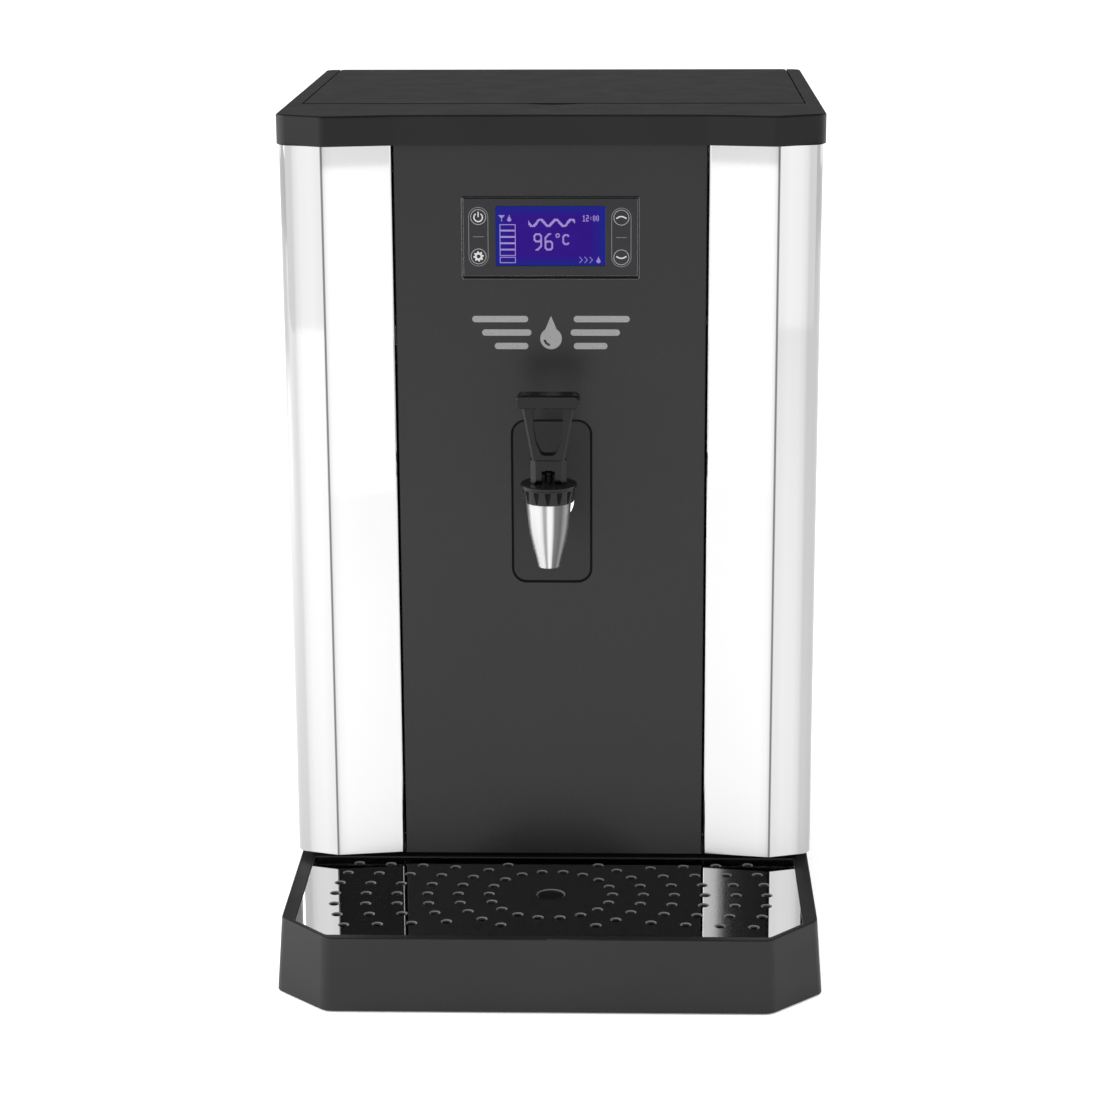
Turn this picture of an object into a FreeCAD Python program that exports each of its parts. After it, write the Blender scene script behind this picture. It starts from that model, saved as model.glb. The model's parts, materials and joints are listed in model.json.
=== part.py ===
"""Countertop automatic-fill hot water dispenser, as an assembly of separate pieces.

Millimetres. +X is the user's right, +Y is away from the user, +Z is up.
The origin is the centre of the bounding box's bottom face, on the worktop.
Depths are written from the cabinet's front corner plane, and FRONT carries
them to the origin.
"""
import FreeCAD, Part
import math, os

V = FreeCAD.Vector

# ------------------------------------------------------------ driving sizes
FRONT = -106.0          # front corner plane of the lid, in the part's frame
LID_HALF = 173.5        # half width over the lid
LID_TOP = 545.0
LID_BOTTOM = 526.0
LID_REAR = 326.0
LID_CORNER = (142.5, 0.0)
LID_CREASE = (98.8, 8.2)
LID_CENTRE = 10.4
LID_SIDE_Y = 15.5
DOOR_HALF = 163.0
DOOR_FRONT = 81.4
DOOR_T = 3.6
DOOR_GAP = 0.6
DOOR_FRONT_GAP = 4.0     # groove in front of the door
HINGE_Y, HINGE_Z = 316.0, 538.0
PIN_R = 1.5

BODY_HALF = 171.5
BODY_BOTTOM = 54.5
BODY_REAR = 322.0
BODY_CORNER = (143.5, 2.5)
BODY_CREASE = (99.8, 9.5)
BODY_SIDE_Y = 11.3
SHEET = 1.0             # side wrap sheet
PANEL_FACE = 11.0       # front panel's face
PANEL_T = 1.5

BASE_TOP = 49.0
BASE_HALF_TOP, BASE_HALF_BOTTOM = 170.0, 173.5
TRAY_RIM = 49.6
SKIRT_BOTTOM = 1.0
TRAY_REAR = 25.0
PLATE_TOP = 49.3
PLATE_T = 1.5
PLATE_REAR = 12.0
HOLE_CENTRE_Y = -52.7
HOLE_R = 2.7

TAP_Y = -52.7
TAP_SEAT_Z = 288.0
SHANK_Z = 297.0
PIVOT_Z = 329.3
STEM_R = 2.5

BEZEL = (112.8, 441.0, 493.7)        # width, low z, high z
LCD = (68.7, 450.4, 487.2)
RECESS = (49.9, 242.6, 348.9, 8.5)   # width, low z, high z, corner radius

TANK = (-150.0, 32.0, 75.0, 265.0, 95.0, 385.0)
TANK_WALL = 1.2
WELL = (97.0, 215.0)                 # filter pocket axis
INLET = (116.0, 95.0)                # x, z of the water inlet
GLAND = (-56.0, 95.0)
SPIGOT = (-120.0, 95.0)
INLET_R = 13.22                      # three quarter inch male thread
REAR_END = 342.0                     # rearmost fitting

PARTS = {}


# ------------------------------------------------------------------ helpers
def P(x, y, z):
    return V(x, y + FRONT, z)


def box(x0, x1, y0, y1, z0, z1):
    return Part.makeBox(x1 - x0, y1 - y0, z1 - z0, P(x0, y0, z0))


def cyl(r, h, x, y, z, axis=(0, 0, 1)):
    return Part.makeCylinder(r, h, P(x, y, z), V(*axis))


def ring(r_out, r_in, h, x, y, z, axis=(0, 0, 1)):
    return cyl(r_out, h, x, y, z, axis).cut(cyl(r_in, h, x, y, z, axis))


def fuse(*shapes):
    out = shapes[0]
    for s in shapes[1:]:
        out = out.fuse(s)
    return out.removeSplitter()


def cut(shape, *tools):
    for t in tools:
        shape = shape.cut(t)
    return shape


def corners(points, radii, closed=True):
    """Edge end points and arc middles of a path with rounded corners, in 2-D."""
    n = len(points)
    out = []
    for i, (x, y) in enumerate(points):
        r = radii[i]
        if r <= 0 or (not closed and i in (0, n - 1)):
            out.append(((x, y), None, (x, y)))
            continue
        px, py = points[i - 1]
        qx, qy = points[(i + 1) % n]
        a = math.hypot(px - x, py - y)
        b = math.hypot(qx - x, qy - y)
        ux, uy = (px - x) / a, (py - y) / a
        wx, wy = (qx - x) / b, (qy - y) / b
        dot = max(-1.0, min(1.0, ux * wx + uy * wy))
        half = math.acos(dot) / 2
        t = r / math.tan(half)
        mx, my = ux + wx, uy + wy
        m = math.hypot(mx, my)
        mx, my = mx / m, my / m
        d = r / math.sin(half) - r
        out.append(((x + ux * t, y + uy * t), (x + mx * d, y + my * d), (x + wx * t, y + wy * t)))
    return out


def edges_of(path, z, closed=True):
    out = []
    n = len(path)
    for i, (s, mid, e) in enumerate(path):
        if mid is not None:
            out.append(Part.Arc(P(s[0], s[1], z), P(mid[0], mid[1], z), P(e[0], e[1], z)).toShape())
        if i < n - 1 or closed:
            t = path[(i + 1) % n][0]
            if math.hypot(t[0] - e[0], t[1] - e[1]) > 1e-6:
                out.append(Part.LineSegment(P(e[0], e[1], z), P(t[0], t[1], z)).toShape())
    return out


def outline(points, radii, z):
    return Part.Wire(edges_of(corners(points, radii), z))


def prism(points, radii, z0, z1):
    return Part.Face(outline(points, radii, z0)).extrude(V(0, 0, z1 - z0))


def mirror_points(right):
    """Right-hand points (front centre first) to a closed list round the outline."""
    return right + [(-x, y) for x, y in reversed(right) if x != 0]


def mirror_radii(right, radii):
    return radii + [r for (x, y), r in zip(reversed(right), reversed(radii)) if x != 0]


def inset(points, d):
    """Closed outline, listed anticlockwise, moved inwards by d."""
    n = len(points)
    out = []
    for i in range(n):
        (ax, ay), (bx, by), (cx, cy) = points[i - 1], points[i], points[(i + 1) % n]
        l1, l2 = math.hypot(bx - ax, by - ay), math.hypot(cx - bx, cy - by)
        n1 = (-(by - ay) / l1, (bx - ax) / l1)
        n2 = (-(cy - by) / l2, (cx - bx) / l2)
        k = 1 + n1[0] * n2[0] + n1[1] * n2[1]
        out.append((bx + d * (n1[0] + n2[0]) / k, by + d * (n1[1] + n2[1]) / k))
    return out


def strip(points, radii, t, z0, z1):
    """A bent sheet: the path is its outer face, and t is to the left of it."""
    n = len(points)
    inner = []
    for i in range(n):
        if 0 < i < n - 1:
            (ax, ay), (bx, by), (cx, cy) = points[i - 1], points[i], points[i + 1]
            l1, l2 = math.hypot(bx - ax, by - ay), math.hypot(cx - bx, cy - by)
            n1 = (-(by - ay) / l1, (bx - ax) / l1)
            n2 = (-(cy - by) / l2, (cx - bx) / l2)
            k = 1 + n1[0] * n2[0] + n1[1] * n2[1]
            inner.append((bx + t * (n1[0] + n2[0]) / k, by + t * (n1[1] + n2[1]) / k))
        else:
            (ax, ay), (bx, by) = (points[0], points[1]) if i == 0 else (points[-2], points[-1])
            l1 = math.hypot(bx - ax, by - ay)
            x, y = points[i]
            inner.append((x - t * (by - ay) / l1, y + t * (bx - ax) / l1))
    r_in = [max(r - t, 0.0) for r in radii]
    back = corners(inner, r_in, closed=False)
    fwd = corners(points, radii, closed=False)
    es = edges_of(fwd, z0, closed=False)
    end_f, end_b = fwd[-1][2], back[-1][2]
    es.append(Part.LineSegment(P(end_f[0], end_f[1], z0), P(end_b[0], end_b[1], z0)).toShape())
    es += list(reversed(edges_of(back, z0, closed=False)))
    s_f, s_b = fwd[0][0], back[0][0]
    es.append(Part.LineSegment(P(s_b[0], s_b[1], z0), P(s_f[0], s_f[1], z0)).toShape())
    wire = Part.Wire(Part.__sortEdges__(es))
    return Part.Face(wire).extrude(V(0, 0, z1 - z0))


def rounded_plate(w, z0, z1, r, y0, y1, x=0.0):
    """A plate facing the user: width w, from z0 to z1, from y0 back to y1."""
    b = box(x - w / 2, x + w / 2, y0, y1, z0, z1)
    es = [e for e in b.Edges if abs(e.tangentAt(e.FirstParameter).y) > 0.99]
    return b.makeFillet(r, es) if r > 0 else b


def pick(shape, test):
    """Edges whose middle passes the test, with depth measured from the front plane."""
    out = []
    for e in shape.Edges:
        c = e.CenterOfMass
        if test(c.x, c.y - FRONT, c.z, e):
            out.append(e)
    return out


def tube(points, r, bend, r_in=0.0):
    """A pipe of straight runs and tangent arcs."""
    pts = [P(*p) for p in points]
    es = []
    last = pts[0]
    start_dir = (pts[1] - pts[0]).normalize()
    for i in range(1, len(pts) - 1):
        a = (pts[i - 1] - pts[i]).normalize()
        b = (pts[i + 1] - pts[i]).normalize()
        half = math.acos(max(-1, min(1, a.dot(b)))) / 2
        t = bend / math.tan(half)
        m = (a + b).normalize()
        s, e = pts[i] + a * t, pts[i] + b * t
        mid = pts[i] + m * (bend / math.sin(half) - bend)
        es.append(Part.LineSegment(last, s).toShape())
        es.append(Part.Arc(s, mid, e).toShape())
        last = e
    es.append(Part.LineSegment(last, pts[-1]).toShape())
    path = Part.Wire(es)

    def sweep(radius):
        c = Part.Wire([Part.Circle(pts[0], start_dir, radius).toShape()])
        return path.makePipeShell([c], True, False)

    s = sweep(r)
    return s.cut(sweep(r_in)) if r_in > 0 else s


def revolve(profile, x, y):
    """Profile of (radius, z) points, closed, turned about a vertical axis."""
    pts = [P(x + r, y, z) for r, z in profile]
    wire = Part.makePolygon(pts + [pts[0]])
    return Part.Face(wire).revolve(P(x, y, 0), V(0, 0, 1), 360)


def hexagon(af, h, x, y, z, axis):
    """Hexagonal prism; af is the size across flats, axis is 'y' or 'x' or 'z'."""
    r = af / math.sqrt(3)
    pts = []
    for k in range(7):
        a = math.radians(60 * k + 30)
        c, s = r * math.cos(a), r * math.sin(a)
        pts.append({"y": P(x + c, y, z + s), "x": P(x, y + c, z + s), "z": P(x + c, y + s, z)}[axis])
    d = {"y": V(0, h, 0), "x": V(h, 0, 0), "z": V(0, 0, h)}[axis]
    return Part.Face(Part.makePolygon(pts)).extrude(d)


def put(name, *solids):
    PARTS[name] = solids[0] if len(solids) == 1 else Part.makeCompound(list(solids))


# --------------------------------------------------------------- base plinth
def drafted(half_top, half_bottom, y_front_top, y_front_bottom, y_rear_top, y_rear_bottom, z0, z1, r):
    top = [(-half_top, y_front_top), (half_top, y_front_top), (half_top, y_rear_top), (-half_top, y_rear_top)]
    bot = [(-half_bottom, y_front_bottom), (half_bottom, y_front_bottom), (half_bottom, y_rear_bottom), (-half_bottom, y_rear_bottom)]
    return Part.makeLoft([outline(bot, r, z0), outline(top, r, z1)], True, True)


plinth = drafted(BASE_HALF_TOP, BASE_HALF_BOTTOM, 25.6, 25.6, 318.0, 321.0, SKIRT_BOTTOM, BASE_TOP, [0, 0, 10, 10])
plinth = plinth.cut(drafted(BASE_HALF_TOP - 3, BASE_HALF_BOTTOM - 3, 28.6, 28.6, 315.0, 318.0, 7.0, BASE_TOP - 3, [0, 0, 7, 7]))
plinth = plinth.cut(drafted(BASE_HALF_BOTTOM - 3.2, BASE_HALF_BOTTOM - 3, 28.6, 28.6, 317.8, 318.0, SKIRT_BOTTOM, 4.0, [0, 0, 7, 7]))
NECK = [(-164, 27.0), (164, 27.0), (164, 316.0), (-164, 316.0)]
neck = prism(NECK, [6] * 4, BASE_TOP - 3, 60.0)
plinth = fuse(plinth, neck).cut(prism(inset(NECK, 6), [3] * 4, BASE_TOP - 6, 60.0))
for sx in (-1, 1):
    plinth = plinth.cut(box(sx * 110 - 11, sx * 110 + 11, 25.0, 29.0, 19.4, 25.0))
put("base_plinth", plinth)

FEET = [(sx * 140.0, y) for sx in (-1, 1) for y in (58.0, 288.0)]
feet = []
for x, y in FEET:
    f = cyl(13.0, 4.0, x, y, 0.0)
    f = f.makeFillet(1.0, pick(f, lambda cx, cy, cz, e: cz < 0.1 and len(e.Vertexes) == 1))
    feet.append(f)
put("rubber_feet", *feet)

deck = box(-163, 163, 28, 314.4, 60.0, 61.5)
for (x, y) in ((116, 260), (-120, 290), (-56, 300)):
    deck = deck.cut(cyl(9.0, 1.5, x, y, 60.0))
put("chassis_deck", deck)

# --------------------------------------------------------------- side wraps
HOLES_Z = (82.0, 226.0, 370.0, 506.0)


def side_panel(s):
    pts = [(BODY_CREASE[0], 21.0), (BODY_CREASE[0], BODY_CREASE[1]), BODY_CORNER, (BODY_HALF, BODY_SIDE_Y),
           (BODY_HALF, BODY_REAR), (157.0, BODY_REAR)]
    rad = [0, 1.6, 3.0, 9.0, 2.5, 0]
    sh = strip(pts, rad, SHEET, BODY_BOTTOM, LID_BOTTOM)
    lip = box(164.2, BODY_HALF - 0.5, 40.0, 300.0, BODY_BOTTOM, BODY_BOTTOM + SHEET)
    sh = fuse(sh, lip)
    for z in HOLES_Z:
        sh = sh.cut(cyl(2.05, 4.0, 162.0, BODY_REAR - 2.5, z, (0, 1, 0)))
    if s < 0:
        sh = sh.mirror(P(0, 0, 0), V(1, 0, 0))
    return sh


put("side_panel_right", side_panel(1))
put("side_panel_left", side_panel(-1))

# --------------------------------------------------------------- front panel
front = strip([(-99.0, 21.0), (-99.0, PANEL_FACE), (99.0, PANEL_FACE), (99.0, 21.0)], [0, 1.2, 1.2, 0], PANEL_T,
              BODY_BOTTOM - 1.0, LID_BOTTOM)
front = front.cut(rounded_plate(RECESS[0] + 2.6, RECESS[1] - 1.3, RECESS[2] + 1.3, RECESS[3] + 1.3, PANEL_FACE - 2, PANEL_FACE + 4))
front = front.cut(rounded_plate(LCD[0] + 6.0, LCD[1] - 2.6, LCD[2] + 2.6, 1.0, PANEL_FACE - 2, PANEL_FACE + 4))
put("front_panel", front)

# ---------------------------------------------------------------- rear panel
rear = box(-167.5, 167.5, 319.4, 320.9, BODY_BOTTOM + 1.2, LID_BOTTOM - 0.2)
for s in (-1, 1):
    for k in range(9):
        z = 410.0 + k * 10.0
        rear = rear.cut(rounded_plate(90.0, z, z + 4.0, 1.9, 319.0, 321.5, s * 78.0))
for (x, z), r in ((INLET, 13.6), (GLAND, 8.1), (SPIGOT, 7.2)):
    rear = rear.cut(cyl(r, 4.0, x, 318.5, z, (0, 1, 0)))
for s in (-1, 1):
    for z in HOLES_Z:
        rear = rear.cut(cyl(2.05, 4.0, s * 162.0, 318.0, z, (0, 1, 0)))
put("rear_panel", rear)

screws = []
for s in (-1, 1):
    for z in HOLES_Z:
        head = cyl(3.6, 2.2, s * 162.0, BODY_REAR, z, (0, 1, 0))
        head = head.makeFillet(1.2, pick(head, lambda cx, cy, cz, e: cy > BODY_REAR + 2.0 and len(e.Vertexes) == 1))
        head = head.cut(box(s * 162.0 - 2.2, s * 162.0 + 2.2, BODY_REAR + 1.2, BODY_REAR + 3, z - 0.4, z + 0.4))
        head = head.cut(box(s * 162.0 - 0.4, s * 162.0 + 0.4, BODY_REAR + 1.2, BODY_REAR + 3, z - 2.2, z + 2.2))
        screws.append(fuse(head, cyl(1.95, 10.0, s * 162.0, BODY_REAR - 10.0, z, (0, 1, 0))))
put("panel_screws", *screws)

# ----------------------------------------------------------------- lid frame
RIGHT = [(0.0, LID_CENTRE), LID_CREASE, LID_CORNER, (LID_HALF, LID_SIDE_Y), (LID_HALF, LID_REAR)]
LID_PTS = mirror_points(RIGHT)
LID_R = mirror_radii(RIGHT, [3500.0, 22.0, 7.0, 12.0, 7.0])
lid = prism(LID_PTS, LID_R, LID_BOTTOM, LID_TOP)
lid = lid.makeFillet(1.4, pick(lid, lambda x, y, z, e: z > LID_TOP - 0.01))
RIN = [3500.0, 20.0, 5.0, 9.0, 4.0]
lid = lid.cut(prism(inset(LID_PTS, 3.0), mirror_radii(RIGHT, RIN), LID_BOTTOM, 537.5))
# recess the door lies in, open at the rear
lid = lid.cut(box(-DOOR_HALF - DOOR_GAP, DOOR_HALF + DOOR_GAP, DOOR_FRONT - DOOR_FRONT_GAP, 330.0, LID_TOP - 4.2, LID_TOP + 2))
# hatch through the recess floor
HATCH = [(-150, 96), (150, 96), (150, 296), (-150, 296)]
lid = lid.cut(prism(HATCH, [8] * 4, LID_BOTTOM, LID_TOP))
# room behind the hinge for the door's rear edge
lid = lid.cut(box(-DOOR_HALF - DOOR_GAP, DOOR_HALF + DOOR_GAP, 315.6, 330.0, LID_BOTTOM - 1, LID_TOP + 2))
lid = fuse(lid, box(-DOOR_HALF - DOOR_GAP, DOOR_HALF + DOOR_GAP, 306.0, 310.0, LID_BOTTOM, 540.8))
for s in (-1, 1):
    lo, hi = sorted((s * 127.4, s * 140.6))
    lid = lid.cut(box(lo, hi, 310.0, 330.0, LID_BOTTOM - 1, LID_TOP + 2))
    for a, b in ((121.0, 127.4), (140.6, 147.0)):
        lo, hi = sorted((s * a, s * b))
        arm = box(lo, hi, 308.0, HINGE_Y, HINGE_Z - 3.0, HINGE_Z + 2.8)
        arm = arm.fuse(cyl(3.0, hi - lo, lo, HINGE_Y, HINGE_Z, (1, 0, 0)))
        lid = fuse(lid, arm)
    lo, hi = sorted((s * 121.0, s * 147.0))
    lid = lid.cut(cyl(PIN_R, hi - lo, lo, HINGE_Y, HINGE_Z, (1, 0, 0)))
# finger notch in front of the door
notch = Part.makeCylinder(30.0, 6.5, P(0, DOOR_FRONT + 20.1, LID_TOP - 6.2), V(0, 0, 1))
lid = lid.cut(notch.common(box(-26, 26, DOOR_FRONT - 12, DOOR_FRONT, LID_TOP - 6.2, LID_TOP + 1)))
floor = box(-25.5, 25.5, DOOR_FRONT - 12.5, DOOR_FRONT + 2, LID_TOP - 8.5, LID_TOP - 6.2)
lid = fuse(lid, floor.cut(prism(HATCH, [8] * 4, LID_BOTTOM, LID_TOP)))
put("lid_frame", lid)

# --------------------------------------------------------------- access door
door = box(-DOOR_HALF, DOOR_HALF, DOOR_FRONT, LID_REAR, LID_TOP - DOOR_T, LID_TOP)
door = door.makeFillet(4.0, pick(door, lambda x, y, z, e: abs(abs(x) - DOOR_HALF) < 0.01 and y > 320 and abs(z - (LID_TOP - DOOR_T / 2)) < 0.1))
door = door.makeFillet(0.6, pick(door, lambda x, y, z, e: z > LID_TOP - 0.01))
# stiffening ribs under the door, inside the hatch
for x in (-110.0, 0.0, 110.0):
    door = fuse(door, box(x - 1.0, x + 1.0, 104.0, 288.0, LID_TOP - DOOR_T - 2.0, LID_TOP - DOOR_T))
for s in (-1, 1):
    lo, hi = sorted((s * 128.0, s * 140.0))
    lug = box(lo, hi, HINGE_Y - 3.3, HINGE_Y + 3.3, HINGE_Z, LID_TOP - DOOR_T)
    lug = lug.fuse(cyl(3.3, hi - lo, lo, HINGE_Y, HINGE_Z, (1, 0, 0)))
    door = fuse(door, lug).cut(cyl(PIN_R + 0.05, hi - lo, lo, HINGE_Y, HINGE_Z, (1, 0, 0)))
put("access_door", door)
put("door_hinge_pins", *[cyl(PIN_R, 26.0, x, HINGE_Y, HINGE_Z, (1, 0, 0)) for x in (121.0, -147.0)])

# ---------------------------------------------------------------- filter bay
BAY = [(-148, 98), (148, 98), (148, 294), (-148, 294)]
bay = prism(BAY, [7] * 4, 503.0, 537.5).cut(prism(inset(BAY, 2.0), [5] * 4, 505.0, 540.0))
FL = [(-154, 90), (154, 90), (154, 304), (-154, 304)]
bay = fuse(bay, prism(FL, [7] * 4, 535.5, 537.5).cut(prism(inset(BAY, 1.0), [6] * 4, 535.0, 538.0)))
WX, WY = WELL
put("filter_bay", bay.cut(cyl(47.0, 10.0, WX, WY, 500.0)))
# round pocket under the bay's floor
pocket = fuse(cyl(49.0, 213.0, WX, WY, 290.0), cyl(52.0, 2.0, WX, WY, 501.0)).cut(cyl(47.0, 220.0, WX, WY, 292.0))
put("filter_well", pocket.cut(cyl(20.5, 4.0, WX, WY, 289.0)))

# filter head under the pocket's floor, with the cartridge standing in it
head = fuse(cyl(34.0, 20.0, WX, WY, 269.7), cyl(20.0, 14.0, WX, WY, 289.0), cyl(7.0, 14.0, WX, WY, 256.0),
            cyl(7.0, 26.0, WX, WY + 30.0, 280.0, (0, 1, 0)))
head = head.cut(cyl(4.0, 30.0, WX, WY, 256.0)).cut(cyl(4.0, 40.0, WX, WY + 16.0, 280.0, (0, 1, 0)))
head = head.cut(cyl(15.2, 14.0, WX, WY, 290.0))
put("filter_head", head)
cart = revolve([(0, 291.0), (14.9, 291.0), (14.9, 304.0), (24.0, 306.0), (42.0, 322.0), (42.0, 488.0), (38.0, 498.0), (0, 498.0)], WX, WY)
grip = box(WX - 32.0, WX + 32.0, WY - 5.0, WY + 5.0, 496.0, 517.0)
grip = grip.makeFillet(4.0, pick(grip, lambda x, y, z, e: z > 516.9))
cart = fuse(cart, grip)
for k in range(24):
    a = math.radians(15.0 * k)
    cart = cart.cut(cyl(1.6, 40.0, WX + 43.0 * math.cos(a), WY + 43.0 * math.sin(a), 440.0))
put("filter_cartridge", cart)

# ------------------------------------------------------- display and controls
bezel = rounded_plate(BEZEL[0], BEZEL[1], BEZEL[2], 1.6, PANEL_FACE - 1.4, PANEL_FACE)
bezel = bezel.makeChamfer(0.6, pick(bezel, lambda x, y, z, e: y < PANEL_FACE - 1.39))
put("display_overlay", bezel)
lcd = fuse(rounded_plate(LCD[0] + 5.2, LCD[1] - 2.2, LCD[2] + 2.2, 0.8, PANEL_FACE, PANEL_FACE + 3.0),
           rounded_plate(84.0, 443.0, 497.0, 1.0, PANEL_FACE + 1.8, PANEL_FACE + 8.5))
put("lcd_module", lcd)
brd = box(-58.0, 58.0, 22.0, 23.6, 436.0, 500.0)
brd = fuse(brd, box(-40.0, -22.0, 23.6, 26.0, 455.0, 473.0), box(5.0, 17.0, 23.6, 25.6, 462.0, 474.0),
           box(30.0, 52.0, 23.6, 32.0, 440.0, 448.0), box(-54.0, -46.0, 23.6, 33.0, 480.0, 488.0))
for x in (-54.0, 54.0):
    for z in (440.0, 496.0):
        brd = brd.cut(cyl(1.6, 3.0, x, 21.0, z, (0, 1, 0)))
put("display_circuit_board", brd)
stand = [fuse(cyl(3.0, 9.2, x, 12.6, z, (0, 1, 0)), cyl(1.5, 12.6, x, 12.6, z, (0, 1, 0))) for x in (-54.0, 54.0) for z in (440.0, 496.0)]
put("display_standoffs", *stand)

brk = fuse(box(-120.0, 120.0, 52.0, 53.2, 404.0, 520.0), box(-120.0, 120.0, 53.2, 64.0, 404.0, 405.2),
           box(-120.0, -118.8, 36.0, 52.0, 404.0, 520.0), box(118.8, 120.0, 36.0, 52.0, 404.0, 520.0))
put("electronics_bracket", brk)
ctl = box(-104.0, 104.0, 45.4, 47.0, 412.0, 502.0)
for (x, w, z, h, d) in ((-88.0, 28.0, 455.0, 34.0, 13.0), (-52.0, 20.0, 420.0, 16.0, 11.0), (-28.0, 20.0, 420.0, 16.0, 11.0),
                        (10.0, 34.0, 425.0, 30.0, 10.0), (64.0, 16.0, 470.0, 16.0, 12.0), (88.0, 12.0, 430.0, 50.0, 9.0), (-10.0, 9.0, 470.0, 9.0, 12.0)):
    ctl = ctl.fuse(box(x - w / 2, x + w / 2, 45.4 - d, 45.4, z, z + h))
for x in (-100.0, 100.0):
    for z in (416.0, 498.0):
        ctl = ctl.fuse(cyl(3.0, 5.0, x, 47.0, z, (0, 1, 0)))
put("control_circuit_board", ctl.removeSplitter())
blk = box(-78.0, -34.0, 262.0, 280.0, 61.5, 80.0)
for k in range(3):
    blk = blk.cut(cyl(3.0, 8.0, -69.0 + 13.0 * k, 271.0, 74.0))
    blk = blk.cut(cyl(2.2, 30.0, -69.0 + 13.0 * k, 258.0, 69.0, (0, 1, 0)))
put("terminal_block", blk)

# ----------------------------------------------------------------------- tap
plate = fuse(rounded_plate(RECESS[0], RECESS[1], RECESS[2], RECESS[3], PANEL_FACE + 0.6, PANEL_FACE + 4.0),
             rounded_plate(RECESS[0] + 10.0, RECESS[1] - 5.0, RECESS[2] + 5.0, 12.0, PANEL_FACE + PANEL_T, PANEL_FACE + 4.0))
es = pick(plate, lambda x, y, z, e: y < PANEL_FACE + 0.61)
plate = plate.makeFillet(0.5, es)
plate = plate.cut(cyl(8.7, 10.0, 0, PANEL_FACE - 2, SHANK_Z, (0, 1, 0)))
put("tap_recess_plate", plate)

prof = [(6.7, 269.5), (8.6, 277.5), (9.9, 282.5), (11.95, 291.7), (13.1, 301.0), (14.1, 312.0)]
bs = Part.BSplineCurve()
bs.interpolate([P(r, TAP_Y, z) for r, z in prof])
cone_wire = Part.Wire([bs.toShape(),
                       Part.LineSegment(P(14.1, TAP_Y, 312.0), P(0, TAP_Y, 312.0)).toShape(),
                       Part.LineSegment(P(0, TAP_Y, 312.0), P(0, TAP_Y, 269.5)).toShape(),
                       Part.LineSegment(P(0, TAP_Y, 269.5), P(6.7, TAP_Y, 269.5)).toShape()])
cone = Part.Face(cone_wire).revolve(P(0, TAP_Y, 0), V(0, 0, 1), 360)
shank = cyl(8.5, 26.0 - TAP_Y, 0, TAP_Y, SHANK_Z, (0, 1, 0))
tail = cyl(6.5, 10.0, 0, 26.0, SHANK_Z, (0, 1, 0))
body = fuse(cone, shank, tail)
body = body.cut(revolve([(0, 288.0), (6.0, 288.0), (6.0, 286.8), (7.4, 286.8), (9.0, 288.6), (9.0, 313.0), (0, 313.0)], 0, TAP_Y))
body = body.cut(cyl(4.6, 30.0, 0, TAP_Y, 262.0)).cut(cyl(5.4, 100.0, 0, TAP_Y + 4.0, SHANK_Z, (0, 1, 0)))
put("tap_body", body)
esc = ring(14.6, 8.55, 2.6, 0, PANEL_FACE - 2.0, SHANK_Z, (0, 1, 0))
esc = esc.makeFillet(0.9, pick(esc, lambda x, y, z, e: y < PANEL_FACE - 1.9 and e.Length > 70))
put("tap_escutcheon", esc)
put("tap_shank_washer", ring(13.0, 8.6, 1.5, 0, PANEL_FACE + 4.0, SHANK_Z, (0, 1, 0)))
nut = hexagon(24.0, 6.0, 0, PANEL_FACE + 5.5, SHANK_Z, "y").cut(cyl(8.52, 8.0, 0, PANEL_FACE + 5.0, SHANK_Z, (0, 1, 0)))
put("tap_shank_nut", nut)

bonnet = revolve([(0, 304.0), (8.9, 304.0), (8.9, 312.1), (15.7, 312.1), (16.9, 321.0), (17.7, 321.6), (17.7, 323.0),
                  (17.1, 323.6), (0, 323.6)], 0, TAP_Y)
for k in range(14):
    a = math.radians(360.0 / 14 * (k + 0.5))
    bonnet = bonnet.cut(cyl(2.2, 8.7, 17.75 * math.cos(a), TAP_Y + 17.75 * math.sin(a), 311.7))
bonnet = bonnet.cut(cyl(7.4, 16.0, 0, TAP_Y, 303.0)).cut(cyl(STEM_R + 0.06, 10.0, 0, TAP_Y, 316.0))
put("tap_bonnet", bonnet)

stem = fuse(cyl(STEM_R, 36.5, 0, TAP_Y, 292.5), cyl(6.2, 1.6, 0, TAP_Y, 298.2), cyl(4.2, 1.2, 0, TAP_Y, 292.5),
            Part.makeSphere(2.9, P(0, TAP_Y, PIVOT_Z)))
stem = stem.cut(box(-5, 5, TAP_Y - 5, TAP_Y + 5, PIVOT_Z + 2.6, PIVOT_Z + 6))
stem = stem.cut(cyl(1.25, 30.0, -15.0, TAP_Y, PIVOT_Z, (1, 0, 0)))
put("tap_stem", stem)
cup = revolve([(0, 288.3), (5.2, 288.3), (6.6, 289.0), (7.4, 291.0), (7.4, 296.6), (2.5, 296.6), (2.5, 293.7), (4.2, 293.7), (4.2, 292.5), (0, 292.5)], 0, TAP_Y)
put("tap_seat_cup", cup)
put("lever_pivot_pin", cyl(1.25, 20.0, -10.0, TAP_Y, PIVOT_Z, (1, 0, 0)))

# return spring between the stem's collar and the bonnet
turns, wire_r, coil_r, s0, s1 = 6.0, 0.55, 5.0, 300.6, 318.3
helix = Part.makeHelix((s1 - s0) / turns, s1 - s0, coil_r)
helix.translate(P(0, TAP_Y, s0))
prof_c = Part.Wire([Part.Circle(P(coil_r, TAP_Y, s0), V(0, 1, 0), wire_r).toShape()])
put("tap_spring", Part.Wire(helix.Edges).makePipeShell([prof_c], True, True))

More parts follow.
